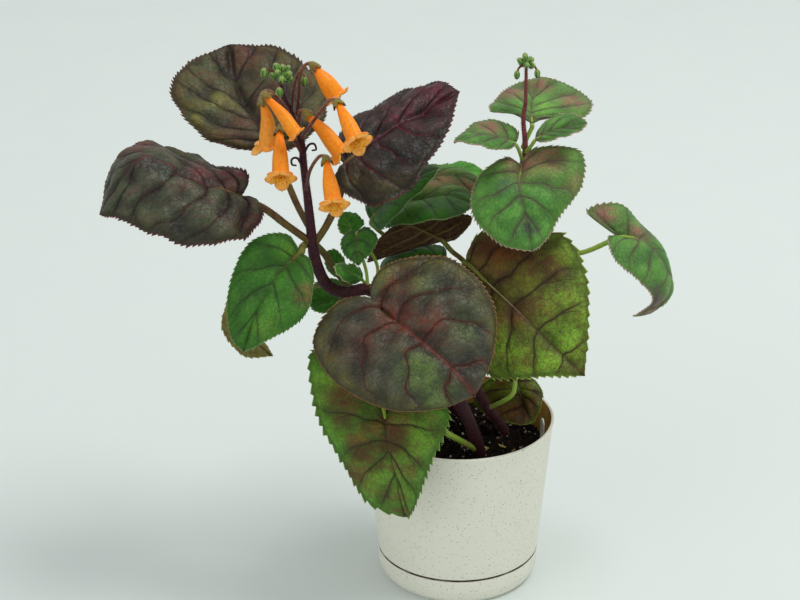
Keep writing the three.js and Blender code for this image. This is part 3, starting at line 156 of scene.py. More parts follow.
class Body:
    def __init__(self):
        self.points, self.faces, self.slots, self.marks, self.count = [], [], [], [], 0

    def add(self, points, faces, marks=None, slot=0):
        """Adds closed faces, each group an array of triangles or of quads, turned to face outward."""
        points = np.asarray(points, float)
        groups = [np.asarray(g, int) for g in faces if len(g)]
        volume = 0.0
        for g in groups:
            for k in range(1, g.shape[1] - 1):
                a, b, c = points[g[:, 0]], points[g[:, k]], points[g[:, k + 1]]
                volume += np.einsum("ij,ij->", a - points[0], np.cross(b - points[0], c - points[0]))
        for g in groups:
            self.faces.append((g[:, ::-1] if volume < 0 else g) + self.count)
            self.slots.append(np.full(len(g), slot))
        self.points.append(points)
        self.marks.append({key: np.asarray(value, float) for key, value in (marks or {}).items()})
        self.count += len(points)

    def make(self, name, materials, nodes, smooth=True):
        """One Blender object that rides on the root body and stands for the nodes."""
        points = np.vstack(self.points) * MM
        sizes = np.concatenate([np.full(len(g), g.shape[1]) for g in self.faces])
        corners = np.concatenate([g.ravel() for g in self.faces])
        mesh = bpy.data.meshes.new(name)
        mesh.vertices.add(len(points))
        mesh.vertices.foreach_set("co", points.ravel())
        mesh.loops.add(len(corners))
        mesh.loops.foreach_set("vertex_index", corners)
        mesh.polygons.add(len(sizes))
        mesh.polygons.foreach_set("loop_start", np.concatenate([[0], np.cumsum(sizes)[:-1]]))
        mesh.polygons.foreach_set("material_index", np.concatenate(self.slots))
        mesh.polygons.foreach_set("use_smooth", np.full(len(sizes), smooth))
        for key in sorted({key for given in self.marks for key in given}):
            values = [given.get(key, np.zeros((len(p), 3))) for given, p in zip(self.marks, self.points)]
            mark = mesh.attributes.new(key, "FLOAT_VECTOR", "POINT")
            mark.data.foreach_set("vector", np.vstack(values).ravel())
        mesh.update(calc_edges=True)
        for material in materials:
            mesh.materials.append(material)
        piece = new_object(name, mesh)
        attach(piece, "root")
        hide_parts(*nodes)
        return piece


def ring_faces(rings, around):
    """Quads between rings of the given number of points, and a fan at each end round a last point."""
    start = np.arange(rings - 1)[:, None] * around
    k = np.arange(around)[None, :]
    following = (k + 1) % around
    quads = np.stack([start + k, start + following, start + around + following, start + around + k], -1)
    k, following = k[0], following[0]
    first, last = rings * around, (rings - 1) * around
    fans = np.vstack([
        np.stack([np.full(around, first), following, k], -1),
        np.stack([np.full(around, first + 1), last + k, last + following], -1),
    ])
    return [quads.reshape(-1, 4), fans]


CAP_ANGLES = np.radians([70, 40, 15])


def tube_frames(points, radii, step):
    """Centres, directions, two side directions and radii along a tube."""
    length = arc_length(spline(points, np.linspace(0, 1, 200)))[-1]
    t = np.linspace(0, 1, max(4, math.ceil(length / step)) + 1)
    centre = spline(points, t)
    along = unit(np.gradient(centre, axis=0))
    radius = np.interp(t * (len(radii) - 1), np.arange(len(radii)), radii)
    sides = []
    side = np.array([0.31, 0.87, 0.38])
    for direction in along:
        side = side - direction * (side @ direction)
        side = side / np.linalg.norm(side)
        sides.append(side)
    sides = np.array(sides)
    return t, centre, along, sides, np.cross(along, sides), radius


def tube(points, radii, around=14, step=1.2, shape=None):
    """A closed tube with rounded ends. shape(t, angle) may swell or ridge it."""
    t, centre, along, side, other, radius = tube_frames(points, radii, step)
    angle = full_turn(around)

    def cap(k, sign, a):
        middle = centre[k] + sign * along[k] * radius[k] * math.sin(a)
        return t[k], middle, side[k], other[k], radius[k] * math.cos(a)

    rings = [cap(0, -1, a) for a in CAP_ANGLES]
    rings += list(zip(t, centre, side, other, radius))
    rings += [cap(-1, 1, a) for a in CAP_ANGLES[::-1]]
    places, marks = [], []
    for at, middle, a, b, r in rings:
        swell = np.ones(around) if shape is None else shape(at, angle)
        spread = np.cos(angle)[:, None] * a + np.sin(angle)[:, None] * b
        places.append(middle + spread * (r * swell)[:, None])
        marks.append(np.stack([np.full(around, at), angle / (2 * math.pi), np.full(around, r)], -1))
    places += [[centre[0] - along[0] * radius[0]], [centre[-1] + along[-1] * radius[-1]]]
    marks += [[[0, 0, 0]], [[1, 0, 0]]]
    return np.vstack(places), ring_faces(len(rings), around), {"tube_place": np.vstack(marks)}


HAIR_SINK = 0.12
HAIR_CORNERS = (0, 2.094, 4.189)
TUBE_HAIR_WIDTH, TUBE_HAIR_LEAN = 0.055, 0.25


def hairs(roots, directions, lengths, width):
    """Thin closed pyramids, one on each root."""
    roots, directions = np.asarray(roots, float), unit(np.asarray(directions, float))
    lengths = np.broadcast_to(lengths, (len(roots),))
    helper = np.where(np.abs(directions[:, 2:]) < 0.9, np.array([[0, 0, 1.0]]), np.array([[1.0, 0, 0]]))
    a = unit(np.cross(directions, helper))
    b = np.cross(directions, a)
    base = roots - directions * HAIR_SINK
    corners = [base + width * (math.cos(w) * a + math.sin(w) * b) for w in HAIR_CORNERS]
    points = np.stack([*corners, roots + directions * lengths[:, None]], 1).reshape(-1, 3)
    k = 4 * np.arange(len(roots))[:, None]
    faces = np.vstack([k + [[0, 1, 3]], k + [[1, 2, 3]], k + [[2, 0, 3]], k + [[2, 1, 0]]])
    return points, [faces]


def tube_hairs(points, radii, per_mm, length, seed, span=(0.0, 1.0)):
    """Hairs that stand out from a tube."""
    rng = np.random.default_rng(seed)
    t, centre, along, side, other, radius = tube_frames(points, radii, 1.0)
    count = int(per_mm * arc_length(centre)[-1] * (span[1] - span[0]))
    at = rng.uniform(span[0], span[1], count) * (len(t) - 1)
    low = np.minimum(at.astype(int), len(t) - 2)
    w = (at - low)[:, None]

    def pick(rows):
        return rows[low] * (1 - w) + rows[low + 1] * w

    angle = rng.uniform(0, 2 * math.pi, (count, 1))
    out = np.cos(angle) * pick(side) + np.sin(angle) * pick(other)
    roots = pick(centre) + out * pick(radius[:, None])
    directions = out + TUBE_HAIR_LEAN * rng.normal(0, 1, (count, 3))
    return hairs(roots, directions, length * rng.uniform(0.6, 1.2, count), TUBE_HAIR_WIDTH)


# Materials

def colour(hexes):
    """A linear colour from six sRGB digits."""
    parts = [int(hexes[i:i + 2], 16) / 255 for i in (0, 2, 4)]
    return tuple(c / 12.92 if c <= 0.04045 else ((c + 0.055) / 1.055) ** 2.4 for c in parts) + (1.0,)


class Graph:
    """A material and short ways to add nodes to it."""

    def __init__(self, name, roughness=0.6, **sockets):
        self.material = bpy.data.materials.new(name)
        self.material.use_nodes = True
        self.tree = self.material.node_tree
        self.shader = self.tree.nodes["Principled BSDF"]
        self.shader.inputs["Roughness"].default_value = roughness
        for key, value in sockets.items():
            self.shader.inputs[key.replace("_", " ")].default_value = value
        self.place = self.node("ShaderNodeTexCoord").outputs["Object"]

    def node(self, kind, inputs=(), **settings):
        made = self.tree.nodes.new(kind)
        for key, value in settings.items():
            setattr(made, key, value)
        for key, value in dict(inputs).items():
            self.plug(value, made.inputs[key])
        return made

    def plug(self, value, socket):
        if isinstance(value, bpy.types.NodeSocket):
            self.tree.links.new(value, socket)
        elif isinstance(value, str):
            socket.default_value = colour(value)
        else:
            socket.default_value = value

    def maths(self, operation, a, b=0.0, clamp=False):
        return self.node("ShaderNodeMath", {0: a, 1: b}, operation=operation, use_clamp=clamp).outputs[0]

    def mix(self, share, a, b, blend="MIX"):
        made = self.node("ShaderNodeMix", {0: share, 6: a, 7: b}, data_type="RGBA", blend_type=blend)
        return made.outputs[2]

    def step(self, value, low, high, to_low=0.0, to_high=1.0):
        """Runs smoothly from to_low to to_high as value goes from low to high."""
        inputs = {0: value, 1: low, 2: high, 3: to_low, 4: to_high}
        return self.node("ShaderNodeMapRange", inputs, interpolation_type="SMOOTHSTEP").outputs[0]

    def noise(self, size_mm, detail=2.0, roughness=0.5, distortion=0.0):
        inputs = {"Vector": self.place, "Scale": 1 / (size_mm * MM), "Detail": detail,
                  "Roughness": roughness, "Distortion": distortion}
        return self.node("ShaderNodeTexNoise", inputs).outputs["Fac"]

    def cells(self, size_mm, feature="F1", place=None):
        inputs = {"Vector": place or self.place, "Scale": 1 / (size_mm * MM)}
        return self.node("ShaderNodeTexVoronoi", inputs, feature=feature).outputs["Distance"]

    def bent_place(self, size_mm, reach_mm):
        """The place on the object, pushed about by noise."""
        push = self.node("ShaderNodeTexNoise", {"Vector": self.place, "Scale": 1 / (size_mm * MM)})
        reach = {0: push.outputs["Color"], 1: (reach_mm * MM,) * 3}
        push = self.node("ShaderNodeVectorMath", reach, operation="MULTIPLY").outputs[0]
        return self.node("ShaderNodeVectorMath", {0: self.place, 1: push}, operation="ADD").outputs[0]

    def times(self, a, b):
        return self.maths("MULTIPLY", a, b)

    def dim(self, base, value):
        """The colour made lighter or darker by a value."""
        grey = self.node("ShaderNodeCombineColor", {0: value, 1: value, 2: value}).outputs[0]
        return self.mix(1.0, base, grey, "MULTIPLY")

    def mark(self, name):
        made = self.node("ShaderNodeAttribute", attribute_name=name)
        return self.node("ShaderNodeSeparateXYZ", {0: made.outputs["Vector"]}).outputs

    def bump(self, height, distance_mm, strength=1.0, normal=None):
        inputs = {"Height": height, "Distance": distance_mm * MM, "Strength": strength}
        if normal is not None:
            inputs["Normal"] = normal
        return self.node("ShaderNodeBump", inputs).outputs[0]

    def finish(self, base, normal=None, roughness=None):
        self.plug(base, self.shader.inputs["Base Color"])
        if normal is not None:
            self.plug(normal, self.shader.inputs["Normal"])
        if roughness is not None:
            self.plug(roughness, self.shader.inputs["Roughness"])
        return self.material


def velvet(graph, weight, roughness, tint):
    graph.shader.inputs["Sheen Weight"].default_value = weight
    graph.shader.inputs["Sheen Roughness"].default_value = roughness
    graph.shader.inputs["Sheen Tint"].default_value = colour(tint)


# A side vein forks: the branch leaves it along this part of its run, by this share of the vein gap
FORK_SHARE, FORK_RUN = 0.34, (0.35, 1.0)


def leaf_material(name, look):
    """Velvety leaf skin: mottled ground, patches, vein net, side veins, midrib, rim and underside, with
    painted light on the bulge tops and painted shade in the hollows and on the side veins.
    """
    g = Graph(name, roughness=0.5, Specular_IOR_Level=look["gloss"])
    velvet(g, look["velvet"], 0.4, look["velvet_tint"])
    t, v, phase = g.mark("leaf_grid")
    to_rib, vein_gap, to_margin = g.mark("leaf_mm")
    net, patch, flush = g.mark("leaf_tone")
    under, dark, quilt = g.mark("leaf_face")
    wide = g.noise(11, detail=3, roughness=0.6)
    blotch = g.noise(3.6, detail=3, roughness=0.62)
    fine = g.noise(0.9, detail=3, roughness=0.65)
    grain = g.noise(0.3, detail=2, roughness=0.6)
    net_cells = g.cells(look["net_mm"], feature="DISTANCE_TO_EDGE", place=g.bent_place(5, 3))
    lines = g.step(net_cells, 0.0, 0.08, 1.0, 0.0)
    broken = g.step(blotch, 0.25, 0.65, 0.35, 1.3)

    def broken_up(share):
        return g.maths("MULTIPLY", share, broken, clamp=True)

    base = g.mix(g.step(wide, 0.42, 0.58), look["ground"], look["second"])
    base = g.mix(g.step(blotch, 0.48, 0.66, 0.0, 0.5), base, look["third"])
    outer = broken_up(g.step(v, 0.68, 0.98))
    base = g.mix(g.times(outer, look["margin_share"]), base, look["margin"])
    base = g.mix(broken_up(patch), base, look["patch"])
    base = g.mix(broken_up(flush), base, look["flush"])
    base = g.mix(broken_up(dark), base, look["dark"])

    # Side veins lie where the phase passes a whole number and a half
    past_vein = g.maths("SUBTRACT", g.maths("FRACT", phase), 0.5)
    to_vein = g.times(g.maths("ABSOLUTE", past_vein), vein_gap)
    past_fork = g.maths("SUBTRACT", past_vein, g.step(v, *FORK_RUN, 0.0, FORK_SHARE))
    to_fork = g.times(g.maths("ABSOLUTE", past_fork), vein_gap)
    fade = g.step(v, 0.55, 1.0, 1.0, 0.25)
    band_mm = look["band_mm"]
    band = g.step(to_vein, 0.2, band_mm, 1.0, 0.0)
    band = g.maths("MAXIMUM", band, g.step(to_rib, 0.4, 1.3 * band_mm, 1.0, 0.0))
    band = g.times(broken_up(band), look["band_share"])
    base = g.mix(g.times(band, fade), base, look["band"])
    # Painted light and shade: the skin is made lighter on the bulge tops and darker in the hollows and on the
    # side veins
    painted_relief_light = g.step(quilt, 0.1, 0.9, look["painted_hollow_shade"], look["painted_bulge_light"])
    base = g.dim(base, painted_relief_light)
    base = g.mix(g.times(net, look["net_share"]), base, look["net"])
    base = g.mix(g.times(lines, look["lines_share"]), base, look["net"])
    base = g.dim(base, g.step(fine, 0.25, 0.75, 0.85, 1.15))
    thin = g.step(v, 0.0, 1.0, look["line_mm"], 0.3)
    nearest = g.maths("MINIMUM", to_vein, g.maths("ADD", to_fork, 0.12))
    line = g.step(g.maths("DIVIDE", nearest, thin), 0.4, 1.0, look["line_share"], 0.0)
    line = g.times(line, fade)
    base = g.mix(line, base, look["line"])
    rib_width = g.step(t, 0.0, 1.0, look["rib_mm"], 0.35)
    rib = g.step(g.maths("DIVIDE", to_rib, rib_width), 0.4, 1.0, 0.95, 0.0)
    run = look["rib_run"]
    rib_colour = g.mix(g.step(t, 0.4 * run, run), look["rib_base"], look["rib"])
    base = g.mix(rib, base, rib_colour)
    rim = g.step(to_margin, 0.12, look["rim_mm"], 1.0, 0.0)
    rim = g.times(rim, g.step(g.noise(3.0, detail=2), 0.3, 0.6, 0.4, 0.95))
    base = g.mix(rim, base, look["rim"])

    below = g.mix(g.step(wide, 0.38, 0.62), look["under"], look["under_second"])
    below = g.mix(broken_up(patch), below, look["patch"])
    below = g.mix(g.times(net, 0.4), below, look["under_vein"])
    below = g.mix(g.maths("MAXIMUM", line, rib), below, look["under_vein"])
    below = g.mix(rim, below, look["rim"])
    skin = g.mix(under, base, below)

    height = g.maths("ADD", g.times(line, -0.6), g.times(lines, -0.4))
    height = g.maths("ADD", height, g.times(fine, 0.6))
    normal = g.bump(height, 0.4, 0.9)
    normal = g.bump(grain, 0.12, 0.6, normal)
    rough = look["rough"]
    return g.finish(skin, normal, g.step(fine, 0.2, 0.8, rough - 0.08, rough + 0.12))


def stalk_material(name, low, high, streak, fuzz, velvet_share):
    """A velvety stalk whose colour runs from low to high, with streaks along it."""
    g = Graph(name, roughness=0.65, Specular_IOR_Level=0.3)
    velvet(g, velvet_share, 0.5, fuzz)
    t, _, _ = g.mark("tube_place")
    base = g.mix(g.step(t, 0.15, 0.85), low, high)
    base = g.mix(g.step(g.noise(5, detail=3, roughness=0.6), 0.4, 0.7), base, streak)
    speck = g.noise(0.5, detail=2, roughness=0.7)
    base = g.mix(g.step(speck, 0.56, 0.75, 0.0, 0.45), base, fuzz)
    return g.finish(base, g.bump(speck, 0.18, 0.8))


def plain_material(name, first, second, size_mm=2.0, rough=0.6, relief=0.15, **sockets):
    """A mottled surface of two colours."""
    g = Graph(name, roughness=rough, **sockets)
    tone = g.noise(size_mm, detail=4, roughness=0.65)
    base = g.mix(g.step(tone, 0.35, 0.68), first, second)
    return g.finish(base, g.bump(g.noise(size_mm / 3, detail=3), relief, 0.8))


# What a look has where it gives no value of its own. Widths are in mm.
LOOK_DEFAULTS = dict(
    gloss=0.25, rough=0.48, velvet=0.05, margin_share=0.6, net_mm=2.6, net_share=0.1, lines_share=0.3,
    band_mm=1.6, band_share=0.5, line_mm=0.5, line_share=0.8, painted_hollow_shade=0.5, painted_bulge_light=1.25, rib_mm=1.2,
    rib_run=0.5, rim_mm=0.45)
RED_UNDER = dict(under="5c4438", under_second="6a5242", under_vein="7a5a48")
OLIVE_UNDER = dict(under="7a7a35", under_second="6a5a30", under_vein="8a8048")
LOOKS = {
    "bronze": dict(
        slot="leaf_bronze", ground="333829", second="3e4030", third="3a2214", margin="565014",
        patch="55702c", flush="562418", dark="221814", net="241c16", band="5c2a1c", line="35180f",
        rib_base="c0b040", rib="6a2a1c", rim="a0683c", under="6a5a45", under_second="7a6a50",
        under_vein="8a6a50", velvet_tint="b4c0cc", gloss=0.35, rough=0.4, net_mm=3.4, net_share=0.08,
        lines_share=0.25, band_mm=2.8, band_share=0.75, line_mm=0.7, painted_hollow_shade=0.55, painted_bulge_light=1.4, rib_mm=1.4,
        rib_run=0.4),
    "grey": dict(
        slot="leaf_bronze", ground="3b4328", second="464228", third="4e2a1a", margin="504212",
        patch="66642a", flush="4c221c", dark="1c1612", net="201a12", band="30201a", line="2c161a",
        rib_base="a09848", rib="341c20", rim="5e2428", under="5a4a3c", under_second="6a5644",
        under_vein="7a6250", velvet_tint="b8c4c4", gloss=0.3, rough=0.4, net_mm=3.2, band_mm=1.4,
        line_mm=0.6, line_share=0.85, painted_bulge_light=1.5),
    "wine": dict(
        RED_UNDER, slot="leaf_wine", ground="37432a", second="424232", third="46241a", margin="3c3a10",
        patch="4c5620", flush="541a20", dark="1a120e", net="1c140e", band="4a1a1c", line="341218",
        rib_base="a89440", rib="5a2424", rim="7a2030", velvet_tint="bcc4c8", gloss=0.35, rough=0.36,
        net_mm=3.2, band_share=0.6, painted_hollow_shade=0.45, painted_bulge_light=1.5),
    "plum": dict(
        RED_UNDER, slot="leaf_wine", ground="1e1c10", second="281c14", third="441620", margin="2c2a10",
        patch="403e18", flush="4a1422", dark="14100c", net="16100c", band="441020", line="6a1a30",
        rib_base="9a8a44", rib="5e1a2c", rim="701c30", velvet_tint="c0bcb4", gloss=0.3, rough=0.34,
        velvet=0.03, net_mm=3.2, band_share=0.55, painted_bulge_light=1.45),
    "green": dict(
        slot="leaf_green", ground="31681a", second="3f7622", third="295814", margin="39741c",
        patch="709c30", flush="8a5f44", dark="2c3822", net="224816", band="3e5428", line="2a3e22",
        rib_base="88a444", rib="444a28", rim="7e9858", under="6a8a3c", under_second="7a9a48",
        under_vein="8aa058", velvet_tint="dcead0", velvet=0.12, band_share=0.4, line_share=0.65,
        painted_hollow_shade=0.75, painted_bulge_light=1.2, rib_mm=0.8, rim_mm=0.4),
    "fresh": dict(
        slot="leaf_green", ground="467a30", second="568c38", third="3a6c28", margin="5c8e3c",
        patch="7cb448", flush="8e5450", dark="3c3c4a", net="366422", band="5e6240", line="553c3e",
        rib_base="a08a60", rib="5c4444", rim="b89a84", under="66602c", under_second="74562c",
        under_vein="8a7a48", velvet_tint="f0ece4", velvet=0.2, band_mm=2.0, line_share=0.75,
        painted_hollow_shade=0.75, painted_bulge_light=1.2, rib_mm=0.9, rib_run=0.6),
    "olive": dict(
        OLIVE_UNDER, slot="leaf_olive", ground="585618", second="58401c", third="647620",
        margin="678c22", patch="6c9428", flush="6a3418", dark="2e2014", net="3a2814", band="46301a",
        line="341c12", rib_base="ccbc84", rib="50341f", rim="a0ac48", velvet_tint="d0d4c0",
        margin_share=0.8, net_mm=3.8, net_share=0.12, lines_share=0.35, band_mm=1.4, band_share=0.55,
        line_share=0.85, painted_hollow_shade=0.6, painted_bulge_light=1.3, rib_mm=0.8, rib_run=0.75, rim_mm=0.4),
    "mottled": dict(
        OLIVE_UNDER, slot="leaf_olive", ground="4f7420", second="5e5420", third="628a26",
        margin="4f8a20", patch="629426", flush="643c1a", dark="332214", net="3c3a16", band="4a4020",
        line="352a16", rib_base="a8b060", rib="3c2c18", rim="84a040", velvet_tint="d0d8c0",
        margin_share=0.8, net_mm=3.4, net_share=0.12, band_mm=1.4, painted_hollow_shade=0.65, rib_mm=0.8, rib_run=0.3,
        rim_mm=0.4),
    "light": dict(
        slot="leaf_light_green", ground="3f8820", second="54982a", third="35781a", margin="4c9224",
        patch="7ab43e", flush="b08a66", dark="2f5a26", net="2c681a", band="529434", line="72ac48",
        rib_base="9ac468", rib="76ac48", rim="b4c48c", under="7aa05a", under_second="8aac64",
        under_vein="9ab470", velvet_tint="e4f0dc", velvet=0.14, net_share=0.08, band_mm=1.0,
        band_share=0.35, line_mm=0.4, line_share=0.7, painted_hollow_shade=0.8, painted_bulge_light=1.16, rib_mm=0.6, rib_run=0.9),
    "brown": dict(
        slot="leaf_brown", ground="4f3826", second="432c1e", third="5a4a28", margin="4a3a20",
        patch="4f7a2c", flush="6a3a34", dark="2e1e16", net="33241a", band="5a4428", line="7a6844",
        rib_base="b0a070", rib="7a6a48", rim="4a3024", under="4a2a1c", under_second="543a20",
        under_vein="74623a", velvet_tint="d0c0b0", net_share=0.2, band_mm=2.2, band_share=0.4,
        line_mm=0.6, painted_hollow_shade=0.6, rim_mm=0.5),
}


# Leaves

TOOTH_HEIGHT = 1.4
TOOTH_LEAN = 0.9
TOOTH_STEPS = ((0.0, 0.0), (0.4, 0.5), (0.78, 1.0))
COLUMN_WIDTH = 1.15
BLADE_HALF = 0.36
RIM_BAND = 1.1
RAGGED_WAVES, EDGE_WAVES = (31, 53, 0.7), (9 * math.pi, 17, 0.6)
UNEVEN_TEETH = (0.6, 1.3)
WANDER_SIZE, WANDER_SHARE = 14, 0.24

# What a leaf has where its entry gives no value: first for every leaf, then for the leaves of a look
LEAF_DEFAULTS = dict(veins=7, arch=0.06, tooth_mm=3.2, tooth=1.0, calm=1.0, ragged=0.0, wave=0.5, sway=0.7,
                     quilt=0.35, patches=())
FINE_TEETH = dict(tooth_mm=2.6, tooth=0.6)
LOOK_LEAVES = {
    "green": FINE_TEETH, "light": FINE_TEETH, "brown": FINE_TEETH, "olive": FINE_TEETH,
    "fresh": dict(tooth_mm=2.8, tooth=0.85),
}


def leaf_rows(leaf):
    """The rows' places along the leaf, and how far out the tooth is at each."""
    base, tip = leaf["midrib"][0], leaf["midrib"][-1]
    margins = [[base, *leaf[side], tip] for side in ("right", "left")]
    fine = np.linspace(0, 1, 801)
    arcs = [arc_length(spline(margin, fine)) for margin in margins]
    share = 0.5 * (arcs[0] / arcs[0][-1] + arcs[1] / arcs[1][-1])
    teeth = max(5, round(0.5 * (arcs[0][-1] + arcs[1][-1]) / leaf["tooth_mm"]))
    at = [(k + x) / teeth for k in range(teeth) for x, _ in TOOTH_STEPS] + [1.0]
    tooth = [y for _ in range(teeth) for _, y in TOOTH_STEPS] + [0.0]
    return np.interp(at, share, fine), np.array(tooth), margins, teeth


def two_waves(t, waves, turns):
    """A sum of two waves along t: their two rates, and the share of the second."""
    first, second, share = waves
    return np.sin(t * first + turns[0]) + share * np.sin(t * second + turns[1])


def leaf_blade(leaf, seed):
    """The blade's sheet and its marks. Both faces come from the sheet, moved along its normals."""
    t, tooth, margins, teeth = leaf_rows(leaf)
    rib = spline(leaf["midrib"], t ** 2)
    base, tip = rib[0], rib[-1]
    across = spline(margins[0], 0.5)[0] - spline(margins[1], 0.5)[0]
    up = unit(np.cross(across, tip - base))
    veins = leaf["veins"]
    widest = max(np.linalg.norm(spline(m, t) - rib, axis=1).max() for m in margins)
    columns = max(5, math.ceil(widest / COLUMN_WIDTH))
    v = np.linspace(0, 1, columns + 1)
    v = np.concatenate([v[:-1], [1 - 0.35 / columns, 1.0]])
    rows, inner = len(t), len(v) - 1
    uneven = np.random.default_rng(seed)
    wiggle = uneven.uniform(0, 2 * math.pi, 4)

    points = [rib]
    grid = [np.stack([t, 0 * t, veins * t + 0.5], -1)]
    size = [np.stack([0 * t, np.full(rows, 9.0), np.full(rows, 30.0)], -1)]
    index = []
    for side, margin in enumerate(margins):
        edge = spline(margin, t)
        lobes = two_waves(t, RAGGED_WAVES, wiggle[side::2])
        edge += unit(edge - rib) * (leaf["ragged"] * lobes * np.sin(math.pi * t))[:, None]
        width = np.linalg.norm(edge - rib, axis=1)
        out = unit(edge - rib)
        forward = unit(np.gradient(edge, axis=0))
        calm = leaf["calm"] if side == 0 else 1.0
        varied = np.repeat(uneven.uniform(*UNEVEN_TEETH, teeth), len(TOOTH_STEPS))
        varied = varied * (1 - (1 - calm) * smooth_step(0.35, 0.5, t[:-1]))
        reach = tooth * np.append(varied, 1.0) * leaf["tooth"]
        reach = reach * np.minimum(1, 4 * np.sin(math.pi * t))
        shift = TOOTH_HEIGHT * out + TOOTH_LEAN * forward
        tt, vv = np.meshgrid(t, v[1:], indexing="ij")
        place = rib[:, None] * (1 - vv[..., None]) + edge[:, None] * vv[..., None]
        place += up * (leaf["dome"] * np.sin(math.pi * vv) * np.sin(math.pi * tt))[..., None]
        near = np.clip(1 - (1 - vv) * width[:, None] / RIM_BAND, 0, 1)
        place += (near * reach[:, None])[..., None] * shift[:, None]
        wave = two_waves(tt, EDGE_WAVES, wiggle[side::2])
        place += up * (leaf["wave"] * wave * vv ** 3 * np.sin(math.pi * tt))[..., None]
        slope = np.gradient(place, t, axis=0)
        slope -= out[:, None] * np.einsum("ijk,ik->ij", slope, out)[..., None]
        gap = np.linalg.norm(slope, axis=-1) / veins
        wander = soft_noise(place.reshape(-1, 3), WANDER_SIZE, seed).reshape(tt.shape)
        wander = wander * smooth_step(0.05, 0.3, vv)
        phase = veins * (tt - leaf["arch"] * vv ** 1.6 * np.sin(math.pi * tt)) + 0.5 + WANDER_SHARE * wander
        start = sum(len(p) for p in points)
        # The first and last rows are the leaf's base and tip
        middle = slice(1, rows - 1)
        points.append(place[middle].reshape(-1, 3))
        grid.append(np.stack([tt, vv, phase], -1)[middle].reshape(-1, 3))
        mm = np.stack([vv * width[:, None], gap, (1 - vv) * width[:, None]], -1)
        size.append(mm[middle].reshape(-1, 3))
        numbers = np.empty((rows, inner + 1), int)
        numbers[:, 0] = np.arange(rows)
        numbers[middle, 1:] = start + np.arange((rows - 2) * inner).reshape(rows - 2, inner)
        numbers[0, 1:] = 0
        numbers[-1, 1:] = rows - 1
        index.append(numbers)
    return np.vstack(points), np.vstack(grid), np.vstack(size), index, up


def sheet_faces(index):
    """Triangles of the sheet, turned so that both sides face up, and its closed edge loop."""
    triangles = []
    for side, numbers in enumerate(index):
        a, b = numbers[:-1, :-1].ravel(), numbers[:-1, 1:].ravel()
        c, d = numbers[1:, 1:].ravel(), numbers[1:, :-1].ravel()
        for three in (np.stack([a, b, c], -1), np.stack([a, c, d], -1)):
            keep = (three[:, 0] != three[:, 1]) & (three[:, 1] != three[:, 2]) & (three[:, 0] != three[:, 2])
            three = three[keep]
            triangles.append(three if side == 0 else three[:, ::-1])
    loop = np.concatenate([index[0][:, -1], index[1][::-1, -1][1:-1]])
    return np.vstack(triangles), loop


def point_normals(points, triangles):
    normals = np.zeros_like(points)
    a, b, c = (points[triangles[:, k]] for k in range(3))
    face = np.cross(b - a, c - a)
    for k in range(3):
        np.add.at(normals, triangles[:, k], face)
    return unit(normals)


CELL_SIZE, BUMP_SIZE, SWAY_SIZE = 3.6, 9, 16
RIB_REACH, VEIN_REACH, FORK_REACH = 1.3, 0.9, 0.7
PILLOW_HEIGHT, PUFF_HEIGHT, BUMP_HEIGHT, RIB_DEPTH, VEIN_DEPTH = 1.2, 0.3, 2.0, 0.5, 0.45


def leaf_relief(points, grid, size, leaf, seed):
    """How far each place stands up or sinks, the vein net, the veins, and how high in its bulge it is, which
    the skin uses to paint light on the tops and shade in the hollows.
    """
    t, v = grid[:, 0], grid[:, 1]
    to_rib, gap, to_margin = size.T
    past_vein = grid[:, 2] % 1 - 0.5
    share = np.abs(past_vein)
    to_vein = share * gap
    to_fork = np.abs(past_vein - FORK_SHARE * smooth_step(*FORK_RUN, v)) * gap
    rib = bump_round(to_rib, RIB_REACH) * (1 - 0.6 * t)
    side = np.maximum(bump_round(to_vein, VEIN_REACH), 0.7 * bump_round(to_fork, FORK_REACH))
    side *= (1 - 0.5 * v) * smooth_step(2, 5, gap)
    inside = smooth_step(0.5, 4.0, to_margin)
    pillow = np.sin(math.pi * share) ** 0.8 * smooth_step(1.0, 5.0, to_rib) * inside
    cells = bulge_gap(points, CELL_SIZE, seed)
    net = 1 - smooth_step(0.0, 0.18, cells)
    puff = smooth_step(0.0, 0.5, cells) * smooth_step(1.0, 4.0, to_rib) * inside
    sway = soft_noise(points, SWAY_SIZE, seed) * v
    bumpy = soft_noise(points, BUMP_SIZE, seed + 30) * inside
    quilt = leaf["quilt"]
    relief = quilt * (PILLOW_HEIGHT * pillow + PUFF_HEIGHT * puff + BUMP_HEIGHT * bumpy)
    relief = relief - RIB_DEPTH * rib - VEIN_DEPTH * side + leaf["sway"] * sway
    # How high in its bulge: the skin paints light where this is high and shade where it is low
    high = np.clip(0.5 + 0.4 * (pillow - 0.5) + 0.1 * (puff - 0.5) + 0.8 * bumpy - 0.3 * side, 0, 1)
    return relief, net * smooth_step(1.2, 3, gap), rib, side, high


def patch_marks(points, leaf, grid, index):
    """Weights of the light patches, the red flush and the dark patches, placed on the leaf."""
    marks = {"patch": np.zeros(len(points)), "flush": np.zeros(len(points)), "dark": np.zeros(len(points))}
    for kind, side, t, v, reach, share in leaf["patches"]:
        numbers = index[side]
        row = int(np.argmin(np.abs(grid[numbers[:, 0], 0] - t)))
        column = int(round(v * (numbers.shape[1] - 1)))
        far = np.linalg.norm(points - points[numbers[row, column]], axis=1)
        marks[kind] = np.maximum(marks[kind], share * bump_round(far, reach))
    return marks


PETIOLE_JOIN = 0.14
PETIOLE_DROP = 0.6
PETIOLE_SINK = 0.3
FRINGE_SHARE, FRINGE_LENGTH, FRINGE_WIDTH = 3.0, (0.25, 0.7), 0.04


def petiole_ridge(at, angle):
    return 1 + 0.04 * np.cos(3 * angle) + 0.02 * math.sin(25 * at)


